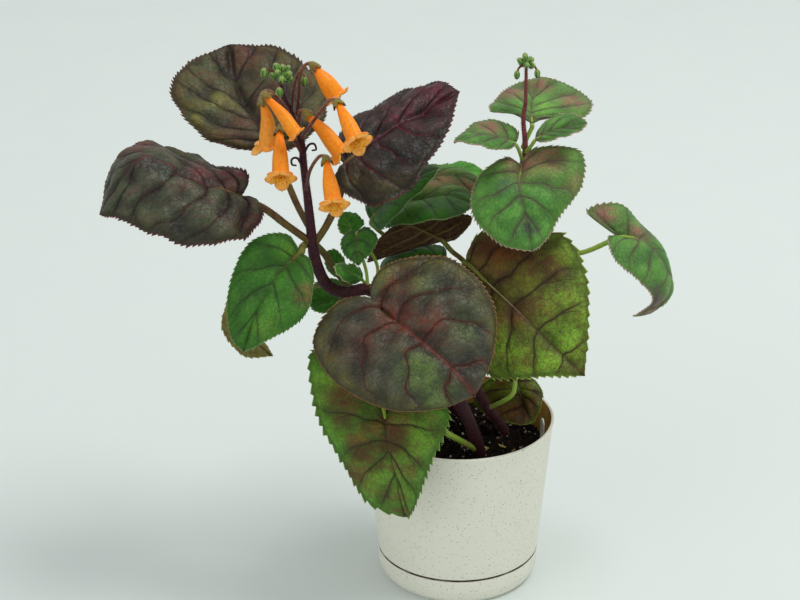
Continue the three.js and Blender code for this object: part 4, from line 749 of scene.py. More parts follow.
def leaf_piece(name, leaf, skin, stalk, fuzz, seed):
    """The blade with its relief, its petiole, and the hairs on its rim and petiole."""
    points, grid, size, index, up = leaf_blade(leaf, seed)
    triangles, loop = sheet_faces(index)
    marks = patch_marks(points, leaf, grid, index)
    normals = point_normals(points, triangles)
    relief, net, rib, side, high = leaf_relief(points, grid, size, leaf, seed)
    points = points + normals * relief[:, None]
    normals = point_normals(points, triangles)
    edge_thin = 1 - 0.35 * bump_round(size[:, 2], 2.0)
    top = points + normals * (BLADE_HALF * edge_thin)[:, None]
    low = points - normals * (BLADE_HALF * edge_thin + 0.5 * rib + 0.25 * side)[:, None]
    count = len(points)
    following = np.roll(loop, -1)
    strip = np.stack([loop, following, count + following, count + loop], -1)
    tone = np.stack([net, marks["patch"], marks["flush"]], -1)
    # The third face mark carries that height, for the painted light and shade on the skin
    face = [np.stack([np.full(count, under), marks["dark"], high], -1) for under in (0.0, 1.0)]
    body = Body()
    faces = [np.vstack([triangles, count + triangles[:, ::-1]]), strip[:, ::-1]]
    body.add(np.vstack([top, low]), faces, {
        "leaf_grid": np.vstack([grid, grid]), "leaf_mm": np.vstack([size, size]),
        "leaf_tone": np.vstack([tone, tone]), "leaf_face": np.vstack(face)})

    radius = leaf["petiole_radius"]
    start = np.array(leaf["midrib"][0]) - PETIOLE_DROP * radius * up
    under = spline(leaf["midrib"], PETIOLE_JOIN)[0] - PETIOLE_SINK * up
    path = [*leaf["petiole"], start, under]
    radii = [radius] * (len(path) - 1) + [0.5 * radius]
    body.add(*tube(path, radii, 14, 1.4, petiole_ridge), slot=1)

    rng = np.random.default_rng(seed + 500)
    ends = rng.integers(0, len(loop), int(FRINGE_SHARE * len(loop)))
    w = rng.uniform(0, 1, (len(ends), 1))
    a, b = loop[ends], following[ends]
    roots = points[a] * (1 - w) + points[b] * w
    rib_of = points[np.argmin(np.abs(grid[:index[0].shape[0], 0][None] - grid[a, 0][:, None]), axis=1)]
    out = unit(roots - rib_of) + 0.5 * normals[a] * rng.normal(0, 1, (len(ends), 1))
    out = out + 0.3 * rng.normal(0, 1, (len(ends), 3))
    body.add(*hairs(roots, out, rng.uniform(*FRINGE_LENGTH, len(ends)), FRINGE_WIDTH), slot=2)
    body.add(*tube_hairs(path, radii, 3.0 * radius, 0.9, seed + 900, (0.0, 0.9)), slot=2)
    body.make(f"{name}_piece", [skin, stalk, fuzz], [name])


STEM_HAIRS_PER_MM, STEM_HAIR_LENGTH = 14, 1.1
SPENT_RADII = [0.7, 0.6, 0.5]
STEMS = {
    "stem_1": dict(
        points=[[11, -28, 62], [11, -28, 88], [0, -33, 123], [-17, -34, 155], [-34, -32, 178],
                [-50, -30, 190], [-63, -29, 188], [-73, -28, 192], [-79, -27, 205], [-81, -26, 218],
                [-83, -25, 241], [-85, -23, 260], [-86, -22, 273], [-91, -21, 288], [-95, -20, 298],
                [-97, -19, 306]],
        radii=[3.6, 3.8, 3.5, 3.4, 3.3, 3.2, 3.2, 3.2, 3, 2.8, 2.2, 2, 1.8, 1.6, 1.3, 1],
        spent=[[[-85, -23, 266], [-82, -27, 273], [-79, -28, 274], [-78, -28, 271], [-80, -27, 270]],
               [[-85, -24, 258], [-88, -26, 265], [-91, -27, 265], [-91, -27, 262], [-89, -26, 261]]]),
    "stem_2": dict(
        points=[[29, 2, 62], [26, -2, 88], [15, -3, 106], [9, -4, 120], [7, -4, 147], [8, -4, 178],
                [17, -3, 211], [27, -2, 237], [34, 0, 257], [33, 2, 276], [34, 3, 287], [34, 4, 306]],
        radii=[3, 2.9, 2.9, 2.8, 2.7, 2.5, 2.2, 2, 1.5, 1.2, 1, 0.8], spent=[]),
    "stem_3": dict(
        points=[[7, 8, 62], [7, 8, 88], [-4, 8, 100], [-17, 12, 127], [-26, 17, 158], [-30, 21, 182],
                [-30, 24, 198]],
        radii=[2.4, 2.4, 2.3, 2.2, 2, 1.8, 1.4], spent=[]),
}

# Patches are placed by side, run along the midrib, share across, reach in mm and strength
RIGHT, LEFT = 0, 1
DARK_LEAF = dict(stalk="brown_stalk", dome=3, quilt=1.0, veins=6, arch=0.28, wave=1.0)
SMALL_LEAF = dict(look="light", stalk="light_stalk", dome=0.8, petiole_radius=0.9, veins=4)

LEAVES = {
    "leaf_top_back": dict(
        DARK_LEAF, look="grey", petiole_radius=1.8, tooth_mm=2.8, ragged=0.7, sway=1.6,
        patches=[("patch", LEFT, 0.6, 0.4, 8, 0.8), ("patch", LEFT, 0.5, 0.9, 8, 0.6),
                 ("flush", RIGHT, 0.9, 0.6, 14, 0.7), ("flush", RIGHT, 0.6, 0.3, 12, 0.7),
                 ("flush", LEFT, 0.4, 0.4, 12, 0.6), ("dark", RIGHT, 0.8, 0.0, 9, 0.6)],
        midrib=[[-101, -5, 266], [-115, 17, 274], [-124, 37, 284], [-129, 58, 300]],
        left=[[-112, -8, 263], [-137, -4, 268], [-156, 14, 283], [-153, 35, 294]],
        right=[[-92, -8, 264], [-74, 8, 277], [-79, 33, 289], [-100, 53, 299]],
        petiole=[[-82, -25, 224], [-89, -18, 235], [-96, -10, 250]]),
    "leaf_top_left": dict(
        DARK_LEAF, look="wine", petiole_radius=2, tooth_mm=2.7, ragged=0.8, sway=1.8,
        patches=[("flush", RIGHT, 0.5, 0.2, 9, 0.9), ("flush", RIGHT, 0.3, 0.4, 10, 0.9),
                 ("flush", RIGHT, 0.2, 0.8, 8, 0.8), ("flush", RIGHT, 0.7, 0.8, 10, 0.7),
                 ("flush", LEFT, 0.3, 0.9, 8, 0.7), ("dark", LEFT, 0.8, 0.2, 8, 0.5),
                 ("dark", LEFT, 0.6, 0.8, 10, 0.5), ("dark", RIGHT, 0.3, 1.0, 6, 0.5)],
        midrib=[[-119, -26, 243], [-143, -26, 253], [-171, -26, 265], [-194, -34, 236]],
        left=[[-107, -32, 239], [-113, -42, 229], [-131, -52, 227], [-158, -52, 230], [-179, -42, 236]],
        right=[[-116, -16, 251], [-134, 0, 252], [-156, 6, 257], [-176, 4, 262], [-190, -10, 252]],
        petiole=[[-81, -26, 216], [-95, -26, 227], [-106, -26, 236]]),
    "leaf_top_right": dict(
        DARK_LEAF, look="plum", petiole_radius=2, tooth_mm=2.7, ragged=0.8, sway=1.8,
        patches=[("flush", LEFT, 0.9, 0.3, 14, 0.9), ("flush", LEFT, 0.7, 0.1, 12, 0.8),
                 ("flush", RIGHT, 0.9, 1.0, 10, 0.6), ("dark", RIGHT, 0.6, 0.5, 14, 0.7),
                 ("patch", RIGHT, 0.3, 0.7, 9, 0.6), ("patch", RIGHT, 0.5, 0.8, 8, 0.5)],
        midrib=[[-63, -20, 259], [-41, -4, 272], [-23, 8, 277], [-1, 24, 285]],
        left=[[-70, -10, 264], [-60, 10, 273], [-39, 26, 280], [-16, 32, 287]],
        right=[[-68, -26, 253], [-57, -36, 246], [-39, -40, 246], [-24, -30, 257], [-9, -6, 272]],
        petiole=[[-81, -26, 214], [-73, -24, 226], [-66, -22, 242]]),
    "leaf_lower_left": dict(
        look="green", stalk="olive_stalk", dome=2, petiole_radius=2, veins=6,
        patches=[("dark", RIGHT, 0.7, 0.4, 5, 0.4), ("flush", LEFT, 0.5, 0.8, 6, 0.6),
                 ("patch", LEFT, 0.8, 0.6, 8, 0.4), ("patch", RIGHT, 0.3, 0.2, 7, 0.4)],
        midrib=[[-87, -34, 214], [-98, -44, 207], [-109, -58, 192], [-117, -68, 171]],
        right=[[-95, -32, 224], [-114, -38, 221], [-125, -50, 199], [-124, -62, 179]],
        left=[[-82, -38, 211], [-80, -50, 202], [-85, -62, 189], [-104, -70, 179]],
        petiole=[[-60, -28, 189], [-65, -22, 193], [-70, -20, 199], [-75, -19, 207], [-81, -20, 213],
                 [-86, -28, 215]]),
    "leaf_curled_left": dict(
        look="olive", stalk="green_stalk", dome=1.5, petiole_radius=1.3, veins=6,
        midrib=[[-93, -18, 186], [-112, -16, 178], [-123, -22, 165], [-103, -38, 154]],
        left=[[-105, -10, 188], [-123, -8, 183], [-132, -12, 161], [-120, -30, 151]],
        right=[[-90, -24, 182], [-100, -30, 172], [-110, -34, 166], [-106, -38, 160]],
        petiole=[[-74, -28, 193], [-80, -25, 190], [-87, -20, 187]]),
    "leaf_big_front": dict(
        look="bronze", stalk="green_stalk", dome=3, petiole_radius=2, quilt=1.0,
        veins=5, arch=0.34, sway=1.5, tooth_mm=3.2, tooth=0.8, calm=0.15,
        patches=[("patch", RIGHT, 0.7, 0.3, 10, 0.8), ("patch", RIGHT, 0.8, 0.5, 10, 0.8),
                 ("patch", LEFT, 0.7, 0.5, 8, 0.6), ("patch", LEFT, 0.5, 0.6, 8, 0.5),
                 ("flush", LEFT, 0.4, 0.1, 12, 0.9), ("flush", LEFT, 0.6, 0.2, 12, 0.7),
                 ("flush", LEFT, 0.4, 0.6, 12, 0.6), ("flush", RIGHT, 0.5, 0.5, 10, 0.6),
                 ("dark", LEFT, 0.9, 0.2, 12, 0.5), ("patch", LEFT, 0.3, 0.8, 9, 0.6)],
        midrib=[[-45, -48, 187], [-24, -66, 178], [-5, -80, 166], [6, -84, 153]],
        right=[[-51, -43, 192], [-66, -46, 190], [-80, -56, 172], [-68, -74, 156], [-40, -88, 147],
               [-13, -91, 149]],
        left=[[-50, -41, 195], [-44, -35, 204], [-29, -31, 209], [-4, -34, 209], [16, -50, 191],
              [16, -68, 171]],
        petiole=[[-44, -31, 185], [-46, -38, 186]]),
    "leaf_over_pot": dict(
        look="mottled", stalk="light_stalk", dome=2, petiole_radius=1.7, quilt=0.6,
        tooth_mm=5.2, tooth=1.5,
        patches=[("patch", LEFT, 0.5, 0.6, 10, 0.9), ("patch", RIGHT, 0.9, 0.0, 9, 0.7),
                 ("flush", LEFT, 0.5, 0.1, 11, 0.9), ("flush", RIGHT, 0.4, 0.5, 10, 0.8),
                 ("patch", RIGHT, 0.4, 0.8, 8, 0.8), ("flush", RIGHT, 0.7, 0.9, 8, 0.8),
                 ("flush", RIGHT, 0.6, 0.4, 9, 0.7), ("patch", RIGHT, 0.8, 0.5, 8, 0.7)],
        midrib=[[-42, -62, 139], [-41, -76, 122], [-37, -77, 109], [-30, -66, 69]],
        right=[[-61, -56, 153], [-81, -54, 164], [-78, -64, 133], [-63, -70, 103], [-50, -69, 80]],
        left=[[-28, -62, 150], [-8, -70, 136], [-18, -74, 106], [-26, -69, 77]],
        petiole=[[10, -29, 91], [-9, -45, 111], [-27, -58, 129]]),
    "leaf_front_right": dict(
        look="olive", stalk="green_stalk", dome=2, petiole_radius=1.7, quilt=0.65,
        tooth_mm=5.2, tooth=1.5,
        patches=[("patch", LEFT, 0.8, 0.3, 16, 0.9), ("patch", RIGHT, 0.8, 0.5, 12, 0.8),
                 ("patch", RIGHT, 0.6, 0.5, 12, 0.8), ("patch", LEFT, 0.7, 0.6, 12, 0.6),
                 ("flush", LEFT, 0.3, 0.6, 14, 0.8), ("flush", RIGHT, 0.6, 0.1, 8, 0.6)],
        midrib=[[2, -18, 201], [28, -32, 181], [51, -46, 162], [66, -56, 151]],
        right=[[-4, -20, 187], [7, -34, 159], [15, -44, 146], [30, -50, 147], [46, -54, 150]],
        left=[[9, -12, 215], [29, -6, 214], [56, -10, 213], [67, -24, 196], [68, -40, 177]],
        petiole=[[7, -4, 172], [4, -12, 188]]),
    "leaf_right_hanging": dict(
        look="fresh", stalk="green_stalk", dome=2, petiole_radius=1.4, veins=6,
        patches=[("flush", LEFT, 0.1, 0.4, 11, 0.9), ("flush", LEFT, 0.3, 0.5, 11, 0.7),
                 ("dark", RIGHT, 0.9, 0.0, 5, 0.7), ("dark", RIGHT, 0.5, 0.3, 6, 0.4),
                 ("flush", LEFT, 0.5, 0.9, 8, 0.5)],
        midrib=[[32, -6, 253], [30, -24, 247], [33, -32, 237], [37, -42, 218]],
        right=[[23, -6, 257], [8, -14, 248], [6, -30, 234], [20, -40, 222]],
        left=[[39, -4, 262], [63, -4, 261], [64, -16, 246], [52, -30, 234], [44, -38, 223]],
        petiole=[[33, -1, 250], [32, -4, 252]]),
    "leaf_right_top": dict(
        look="fresh", stalk="light_stalk", dome=2, petiole_radius=1.2, veins=6,
        patches=[("flush", LEFT, 0.7, 0.8, 9, 0.9), ("flush", RIGHT, 0.9, 0.3, 8, 0.7),
                 ("flush", RIGHT, 0.6, 0.7, 9, 0.8), ("patch", RIGHT, 0.6, 0.1, 9, 0.8)],
        midrib=[[38, 5, 273], [38, 16, 277], [39, 28, 278], [44, 48, 285]],
        left=[[28, 9, 277], [16, 14, 277], [19, 27, 279], [30, 44, 281]],
        right=[[46, 8, 275], [66, 12, 275], [71, 30, 277], [58, 46, 281]],
        petiole=[[33, 1, 261], [36, 4, 267], [38, 5, 271]]),
    "leaf_right_small_1": dict(
        look="fresh", stalk="light_stalk", dome=1, petiole_radius=1, veins=5,
        patches=[("flush", RIGHT, 0.6, 0.5, 7, 0.9)],
        midrib=[[29, -4, 265], [20, -8, 270], [9, -12, 273], [-5, -16, 271]],
        right=[[30, 2, 269], [22, 7, 273], [10, 6, 274], [1, -4, 272]],
        left=[[28, -8, 265], [20, -18, 267], [9, -22, 271], [0, -20, 272]],
        petiole=[[33, -1, 253], [31, -3, 260]]),
    "leaf_right_small_2": dict(
        look="fresh", stalk="light_stalk", dome=1, petiole_radius=1, veins=5,
        midrib=[[39, -8, 269], [46, -6, 272], [55, -4, 274], [67, -4, 277]],
        left=[[42, -2, 274], [48, 2, 277], [55, 4, 279], [63, 2, 278]],
        right=[[43, -12, 269], [50, -12, 271], [57, -11, 273], [63, -8, 274]],
        petiole=[[34, 0, 258], [37, -5, 264]]),
    "leaf_far_right": dict(
        look="fresh", stalk="light_stalk", dome=1.5, petiole_radius=1.4, veins=7,
        patches=[("flush", LEFT, 0.2, 0.7, 7, 0.9), ("flush", LEFT, 0.4, 0.2, 7, 0.7),
                 ("dark", RIGHT, 0.8, 1.0, 8, 0.7), ("flush", RIGHT, 0.9, 0.6, 9, 0.9)],
        midrib=[[87, 4, 207], [99, 0, 207], [109, -6, 200], [115, -14, 186], [106, -22, 174], [94, -26, 172]],
        right=[[81, -4, 210], [82, -14, 205], [91, -22, 197], [100, -26, 191], [104, -28, 182]],
        left=[[70, 10, 219], [87, 20, 220], [101, 20, 208], [113, 8, 197], [116, -6, 182], [111, -16, 174]],
        petiole=[[14, -3, 201], [44, 0, 197], [66, 2, 198], [80, 4, 203]]),
    "leaf_middle_left": dict(
        look="green", stalk="green_stalk", dome=1.5, petiole_radius=1.2, veins=5,
        midrib=[[-50, 8, 215], [-36, 2, 236], [-24, -2, 244], [-12, -4, 251]],
        right=[[-44, 0, 213], [-35, -10, 227], [-25, -14, 239], [-17, -12, 247]],
        left=[[-52, 16, 220], [-45, 20, 227], [-34, 20, 235], [-22, 12, 246]],
        petiole=[[-30, 21, 184], [-36, 22, 194], [-47, 16, 207]]),
    "leaf_middle_front": dict(
        look="green", stalk="green_stalk", dome=2, petiole_radius=1.2, veins=5,
        patches=[("patch", RIGHT, 0.4, 0.4, 10, 0.5), ("flush", LEFT, 0.5, 0.9, 10, 0.8)],
        midrib=[[-38, 20, 219], [-23, 14, 225], [-7, 12, 228], [8, 8, 224]],
        right=[[-42, 8, 212], [-31, -4, 218], [-15, -12, 224], [-4, -8, 224]],
        left=[[-31, 34, 225], [-20, 30, 229], [-7, 26, 230], [3, 20, 228]],
        petiole=[[-30, 22, 188], [-35, 24, 202]]),
    "leaf_middle_back": dict(
        look="green", stalk="green_stalk", dome=2, petiole_radius=1.2, veins=5,
        patches=[("flush", RIGHT, 0.6, 0.5, 12, 0.9), ("flush", RIGHT, 0.8, 0.7, 9, 0.9)],
        midrib=[[-31, 48, 216], [-17, 44, 226], [-1, 42, 228], [15, 38, 222]],
        right=[[-34, 38, 211], [-20, 30, 218], [-6, 28, 221], [6, 30, 220]],
        left=[[-26, 60, 222], [-15, 58, 228], [-2, 54, 228], [8, 48, 226]],
        petiole=[[-30, 23, 191], [-31, 40, 201]]),
    "leaf_middle_far": dict(
        look="light", stalk="green_stalk", dome=1, petiole_radius=1.1, veins=5,
        midrib=[[-15, 70, 211], [-6, 74, 215], [2, 78, 217], [12, 84, 217]],
        left=[[-17, 76, 217], [-10, 80, 219], [-2, 86, 218], [5, 88, 218]],
        right=[[-11, 66, 208], [1, 66, 212], [10, 70, 214], [15, 78, 215]],
        petiole=[[-30, 24, 195], [-22, 50, 204]]),
    "leaf_brown_underside": dict(
        look="brown", stalk="green_stalk", dome=2, petiole_radius=1.4, veins=5,
        midrib=[[-10, 2, 205], [-20, 6, 209], [-29, 8, 212], [-36, 10, 212]],
        right=[[-23, -2, 204], [-42, -5, 199], [-51, -3, 195], [-46, 5, 204]],
        left=[[-2, 2, 207], [6, 6, 217], [-3, 8, 219], [-20, 9, 219]],
        petiole=[[8, -4, 178], [3, 0, 192], [-5, 0, 200]]),
    "leaf_heart": dict(
        look="green", stalk="light_stalk", dome=1, petiole_radius=0.9, veins=4,
        midrib=[[-57, -24, 221], [-57, -30, 218], [-57, -34, 212], [-56, -36, 207]],
        right=[[-61, -22, 221], [-65, -24, 216], [-63, -30, 211], [-59, -34, 209]],
        left=[[-52, -20, 223], [-46, -22, 218], [-49, -30, 213], [-53, -34, 210]],
        petiole=[[-51, -31, 191], [-52, -26, 200], [-56, -21, 212]]),
    "leaf_small_1": dict(
        SMALL_LEAF,
        midrib=[[-60, -8, 214], [-61, -6, 218], [-63, -4, 221], [-65, -2, 224]],
        left=[[-64, -10, 214], [-67, -8, 217], [-67, -6, 221], [-66, -4, 223]],
        right=[[-57, -6, 215], [-54, 0, 216], [-56, 2, 220], [-61, 0, 223]],
        petiole=[[-47, -31, 189], [-46, -16, 198], [-53, -8, 208]]),
    "leaf_small_2": dict(
        SMALL_LEAF,
        midrib=[[-65, 2, 182], [-67, 3, 187], [-71, 5, 192], [-74, 7, 197]],
        left=[[-70, 0, 185], [-74, 1, 189], [-75, 4, 194]],
        right=[[-63, 4, 186], [-65, 6, 192], [-69, 8, 197]],
        petiole=[[-54, -30, 189], [-54, -16, 185], [-60, -5, 181]]),
    "leaf_small_3": dict(
        SMALL_LEAF,
        midrib=[[-54, -18, 191], [-61, -24, 198], [-65, -30, 203], [-69, -34, 206]],
        left=[[-58, -24, 191], [-63, -32, 196], [-67, -36, 202]],
        right=[[-56, -12, 195], [-61, -18, 200], [-66, -26, 204]],
        petiole=[[-48, -31, 188], [-50, -24, 188]]),
    "leaf_small_4": dict(
        SMALL_LEAF,
        midrib=[[-60, -16, 181], [-67, -14, 178], [-75, -12, 175], [-84, -10, 173]],
        left=[[-64, -21, 175], [-72, -20, 172], [-80, -16, 171]],
        right=[[-66, -8, 185], [-75, -4, 185], [-82, -5, 181]],
        petiole=[[-62, -29, 188], [-60, -22, 184]]),
    "leaf_in_pot": dict(
        look="olive", stalk="light_stalk", dome=1.5, petiole_radius=1.3, veins=5,
        patches=[("flush", RIGHT, 0.8, 0.1, 9, 0.6), ("patch", RIGHT, 0.5, 0.1, 8, 0.8)],
        midrib=[[32, 4, 119], [35, 10, 107], [37, 10, 98], [36, 1, 91]],
        right=[[22, 2, 123], [11, 4, 113], [9, 8, 102], [19, 7, 93]],
        left=[[41, 10, 117], [48, 14, 106], [47, 12, 98], [43, 5, 92]],
        petiole=[[16, -3, 104], [24, -10, 112], [30, -8, 116]]),
    "leaf_shaded": dict(
        look="green", stalk="green_stalk", dome=1, petiole_radius=1.1, veins=5,
        midrib=[[-8, -5, 198], [-20, -5, 200], [-31, -5, 198], [-45, -5, 191]],
        left=[[-12, -14, 195], [-25, -16, 192], [-38, -12, 188]],
        right=[[-9, 5, 200], [-19, 9, 200], [-32, 9, 198], [-42, 5, 193]],
        petiole=[[-27, 18, 164], [-18, 10, 176], [-9, 0, 189]]),
}

fuzz_pale = plain_material("fuzz_pale", "e6e0d6", "cfc6bc", 1.0, 0.7)
fuzz_brown = plain_material("fuzz_brown", "8a6a50", "6a4a38", 1.0, 0.7)
STALK_COLOURS = {
    "brown_stalk": dict(low="60501e", high="6e5424", streak="4e2c1c", fuzz="a08a5c"),
    "olive_stalk": dict(low="5c5a20", high="76782c", streak="5a3a1e", fuzz="a8a070"),
    "green_stalk": dict(low="646c24", high="7c8a34", streak="62482a", fuzz="b8b480"),
    "light_stalk": dict(low="78a428", high="8cb43c", streak="96904a", fuzz="d0d8a0"),
}
STALK_VELVET = 0.15
stalks = {name: stalk_material(name, velvet_share=STALK_VELVET, **colours)
          for name, colours in STALK_COLOURS.items()}
skins = {name: leaf_material(f"leaf_{name}", {**LOOK_DEFAULTS, **look}) for name, look in LOOKS.items()}
BROWN_RIMMED = ("bronze", "wine", "grey", "plum", "olive", "mottled")
for number, (name, given) in enumerate(LEAVES.items()):
    leaf = {**LEAF_DEFAULTS, **LOOK_LEAVES.get(given["look"], {}), **given}
    hair = fuzz_brown if leaf["look"] in BROWN_RIMMED else fuzz_pale
    leaf_piece(name, leaf, skins[leaf["look"]], stalks[leaf["stalk"]], hair, number + 1)


# Stems

stem_skin = stalk_material("stem_velvet", "2a0a14", "340c1a", "3e1418", "7a3a46", 0.1)
shoot_skin = stalk_material("shoot_velvet", "2c0e1a", "7a3a34", "4a1e20", "9a6058", 0.2)
stem_fuzz = plain_material("stem_fuzz", "a88094", "7a4a60", 1.0, 0.7)


def stem_knots(at, angle):
    return 1 + 0.03 * np.cos(4 * angle + 9 * at) + 0.02 * math.sin(60 * at)


for number, (name, stem) in enumerate(STEMS.items()):
    body = Body()
    body.add(*tube(stem["points"], stem["radii"], 28, 1.1, stem_knots))
    hair = (STEM_HAIRS_PER_MM, STEM_HAIR_LENGTH, 40 + number, (0.08, 1.0))
    body.add(*tube_hairs(stem["points"], stem["radii"], *hair), slot=1)
    for points in stem["spent"]:
        body.add(*tube(points, SPENT_RADII, 8, 0.8))
    skin = shoot_skin if name == "stem_2" else stem_skin
    body.make(f"{name}_piece", [skin, stem_fuzz], [name])


# Blooms

BLOOMS = [
    dict(calyx=[-79, -26, 317], mouth=[-67, -30, 302], lip=[-0.5, 0.8, 0], wide=1.12, flare=0.8,
         pedicel=[[-88, -21, 288], [-87, -22, 299], [-86, -24, 311], [-83, -25, 317]]),
    dict(calyx=[-66, -46, 304], mouth=[-56, -63, 289], lip=[-0.2, 1, -0.2],
         pedicel=[[-86, -22, 275], [-81, -40, 288], [-75, -44, 298], [-70, -46, 305]]),
    dict(calyx=[-83, -30, 292], mouth=[-66, -35, 273], lip=[-0.6, -1, 0],
         pedicel=[[-87, -22, 280], [-87, -27, 287], [-86, -30, 293]]),
    dict(calyx=[-72, -50, 274], mouth=[-68, -67, 256], lip=[0, 1, 0],
         pedicel=[[-84, -25, 246], [-81, -38, 263], [-76, -47, 274]]),
    dict(calyx=[-97, -30, 283], mouth=[-96, -49, 264], lip=[0, 1, 0],
         pedicel=[[-86, -23, 267], [-91, -27, 278], [-95, -29, 285]]),
    dict(calyx=[-104, -38, 305], mouth=[-88, -46, 287], lip=[-0.6, -1, 0], wide=0.85, flare=0.4,
         pedicel=[[-90, -21, 284], [-95, -30, 297], [-101, -36, 306]]),
    dict(calyx=[-106, -20, 296], mouth=[-104, -20, 271], lip=[-1, -0.4, 0],
         pedicel=[[-92, -21, 290], [-98, -19, 297], [-103, -19, 299]]),
]
AROUND = 60
TUBE_PROFILE = [[0, 1.5], [0.08, 2.1], [0.2, 2.9], [0.4, 3.7], [0.6, 4.2], [0.82, 4.4], [1, 4.5]]
THROAT_PROFILE = [[1, 3.8], [0.8, 3.6], [0.6, 3.1], [0.45, 2.6]]
CALYX_END = 0.3
LOBE_ROOT, LOBE_REACH, LOBE_FORWARD = 4.7, 4.0, 0.5
LIP_SHARE, LIP_DROP, BELLY_SHARE = 0.15, 3.5, 0.05
LOBE_ROLL = 5.5
PETAL = 0.5
TUBE_ROWS, LOBE_ROWS, INNER_ROWS, THROAT_ROWS = 26, 9, 10, 12
LOBE_LUMP, THROAT_LUMP = 0.35, 0.06
ANGLES = full_turn(AROUND)


def bloom_axes(bloom):
    """Where the bloom starts, its direction, the side of its lip, the side across, and its length."""
    start, end = np.array(bloom["calyx"], float), np.array(bloom["mouth"], float)
    length = np.linalg.norm(end - start)
    along = (end - start) / length
    lip = np.array(bloom["lip"], float)
    lip = unit(lip - along * (lip @ along))
    return start, along, lip, np.cross(along, lip), length


def bloom_ring(bloom, s, radius, forward):
    """A ring round the bloom's bent axis, at share s of its length."""
    start, along, lip, side, length = bloom_axes(bloom)
    belly = -BELLY_SHARE * length * math.sin(math.pi * s) ** 2
    centre = start + along * s * length + lip * belly
    return tilted_ring(centre, lip, side, along, ANGLES, radius, forward)


def corolla_piece(name, bloom, materials, seed):
    """A tube with five round lobes rolled back round its mouth. One lobe hangs, and the throat is bumpy."""
    rng = np.random.default_rng(seed)
    wide, flare = bloom.get("wide", 1.0), bloom.get("flare", 1.0)
    lobe = 0.25 + 0.75 * np.abs(np.cos(2.5 * ANGLES)) ** 0.5
    facing = np.maximum(0, np.cos(ANGLES))
    varied = np.repeat(rng.uniform(0.9, 1.08, 5), AROUND // 5)
    reach = LOBE_REACH * flare * lobe * (1 + LIP_SHARE * facing) * np.roll(varied, -AROUND // 10)
    drop = LIP_DROP * flare * facing ** 3 * lobe
    fold = 0.03 * np.cos(5 * ANGLES) + 0.01 * rng.normal(0, 1, AROUND)
    rings, marks = [], []

    def ring(s, radius, forward, zone, out):
        rings.append(bloom_ring(bloom, s, radius, forward))
        marks.append(np.stack([np.full(AROUND, zone), lobe * out, np.full(AROUND, s)], -1))

    def broad(s):
        return wide if s > CALYX_END else 1 + (wide - 1) * s / CALYX_END

    def ahead(w):
        return drop * w ** 0.8 + (LOBE_ROLL * flare * w * (1 - w) + LOBE_FORWARD * w) * lobe

    places = np.linspace(0, 1, TUBE_ROWS)
    for s, radius in zip(places, spline(TUBE_PROFILE, places)[:, 1]):
        ring(s, radius * broad(s) * (1 + fold * s), 0, 0.0, 0.0)
    for w in np.linspace(0.1, 1, LOBE_ROWS):
        ring(1, LOBE_ROOT * wide - 0.2 * (1 - w) + reach * w, ahead(w) - 0.1, 0.0, w)
    ring(1, LOBE_ROOT * wide + reach + 0.15, ahead(1.0) + 0.5 * PETAL, 0.5, 1.0)
    for w in np.linspace(1, 0, INNER_ROWS):
        lump = LOBE_LUMP * rng.normal(0, 1, AROUND) * (facing > 0.5) * (w < 0.8)
        ring(1, LOBE_ROOT * wide - PETAL + reach * w, ahead(w) + PETAL + lump, 1.0, w)
    for s, radius in spline(THROAT_PROFILE, np.linspace(0.08, 1, THROAT_ROWS)):
        lump = 1 + THROAT_LUMP * rng.normal(0, 1, AROUND) * (facing > 0)
        ring(s, radius * wide * (1 + fold * s) * lump, 0, 1.0, 0.0)
    ends = [bloom_ring(bloom, 0, 0, 0)[:1], bloom_ring(bloom, THROAT_PROFILE[-1][0], 0, 0)[:1]]
    points = np.vstack([*rings, *ends])
    marks = np.vstack([*marks, [[0, 0, 0]], [[1, 0, 0.45]]])
    body = Body()
    body.add(points, ring_faces(len(rings), AROUND), {"bloom": marks})
    body.make(f"{name}_piece", materials, [name])


def corolla_material(name, tube_low, tube_high, lobe_colour, rim):
    g = Graph(name, roughness=0.42, Specular_IOR_Level=0.25, Subsurface_Weight=0.3, Subsurface_Scale=0.003)
    g.shader.inputs["Subsurface Radius"].default_value = (1.0, 0.35, 0.1)
    velvet(g, 0.04, 0.5, "ffe0b0")
    zone, out, s = g.mark("bloom")
    base = g.mix(g.step(s, 0.0, 0.8), tube_low, tube_high)
    base = g.mix(g.step(g.noise(2.5, detail=3), 0.42, 0.72, 0.0, 0.5), base, "ff8a0e")
    base = g.mix(g.step(g.noise(1.6), 0.5, 0.68, 0.0, 0.45), base, "f26206")
    base = g.mix(g.step(out, 0.3, 0.85, 0.0, 0.75), base, lobe_colour)
    throat = g.mix(g.step(g.noise(0.8, detail=2, distortion=0.5), 0.46, 0.58), "ffc83c", "ec7a1c")
    inner = g.mix(g.step(out, 0.12, 0.5), throat, lobe_colour)
    base = g.mix(zone, base, inner)
    base = g.mix(g.step(out, 0.82, 0.98, 0.0, 0.7), base, rim)
    grain = g.noise(0.35, detail=2)
    return g.finish(base, g.bump(grain, 0.08, 0.5))


CALYX_AROUND = 40
CALYX_TURN = full_turn(CALYX_AROUND)
CALYX_RINGS = [[-2.4, 0.8], [-1.9, 1.4], [-1.2, 1.9], [-0.4, 2.3], [0.4, 2.6]]
PEDICEL_RADIUS = 0.9
PEDICEL_DEPTH = 1.8
SEPAL_VALLEY, SEPAL_RISE = (1.1, 2.9), (2.1, 0.7)
CALYX_TOP, CALYX_FLOOR = CALYX_RINGS[-1], (-0.3, 2.0)
CALYX_HAIRS = 260


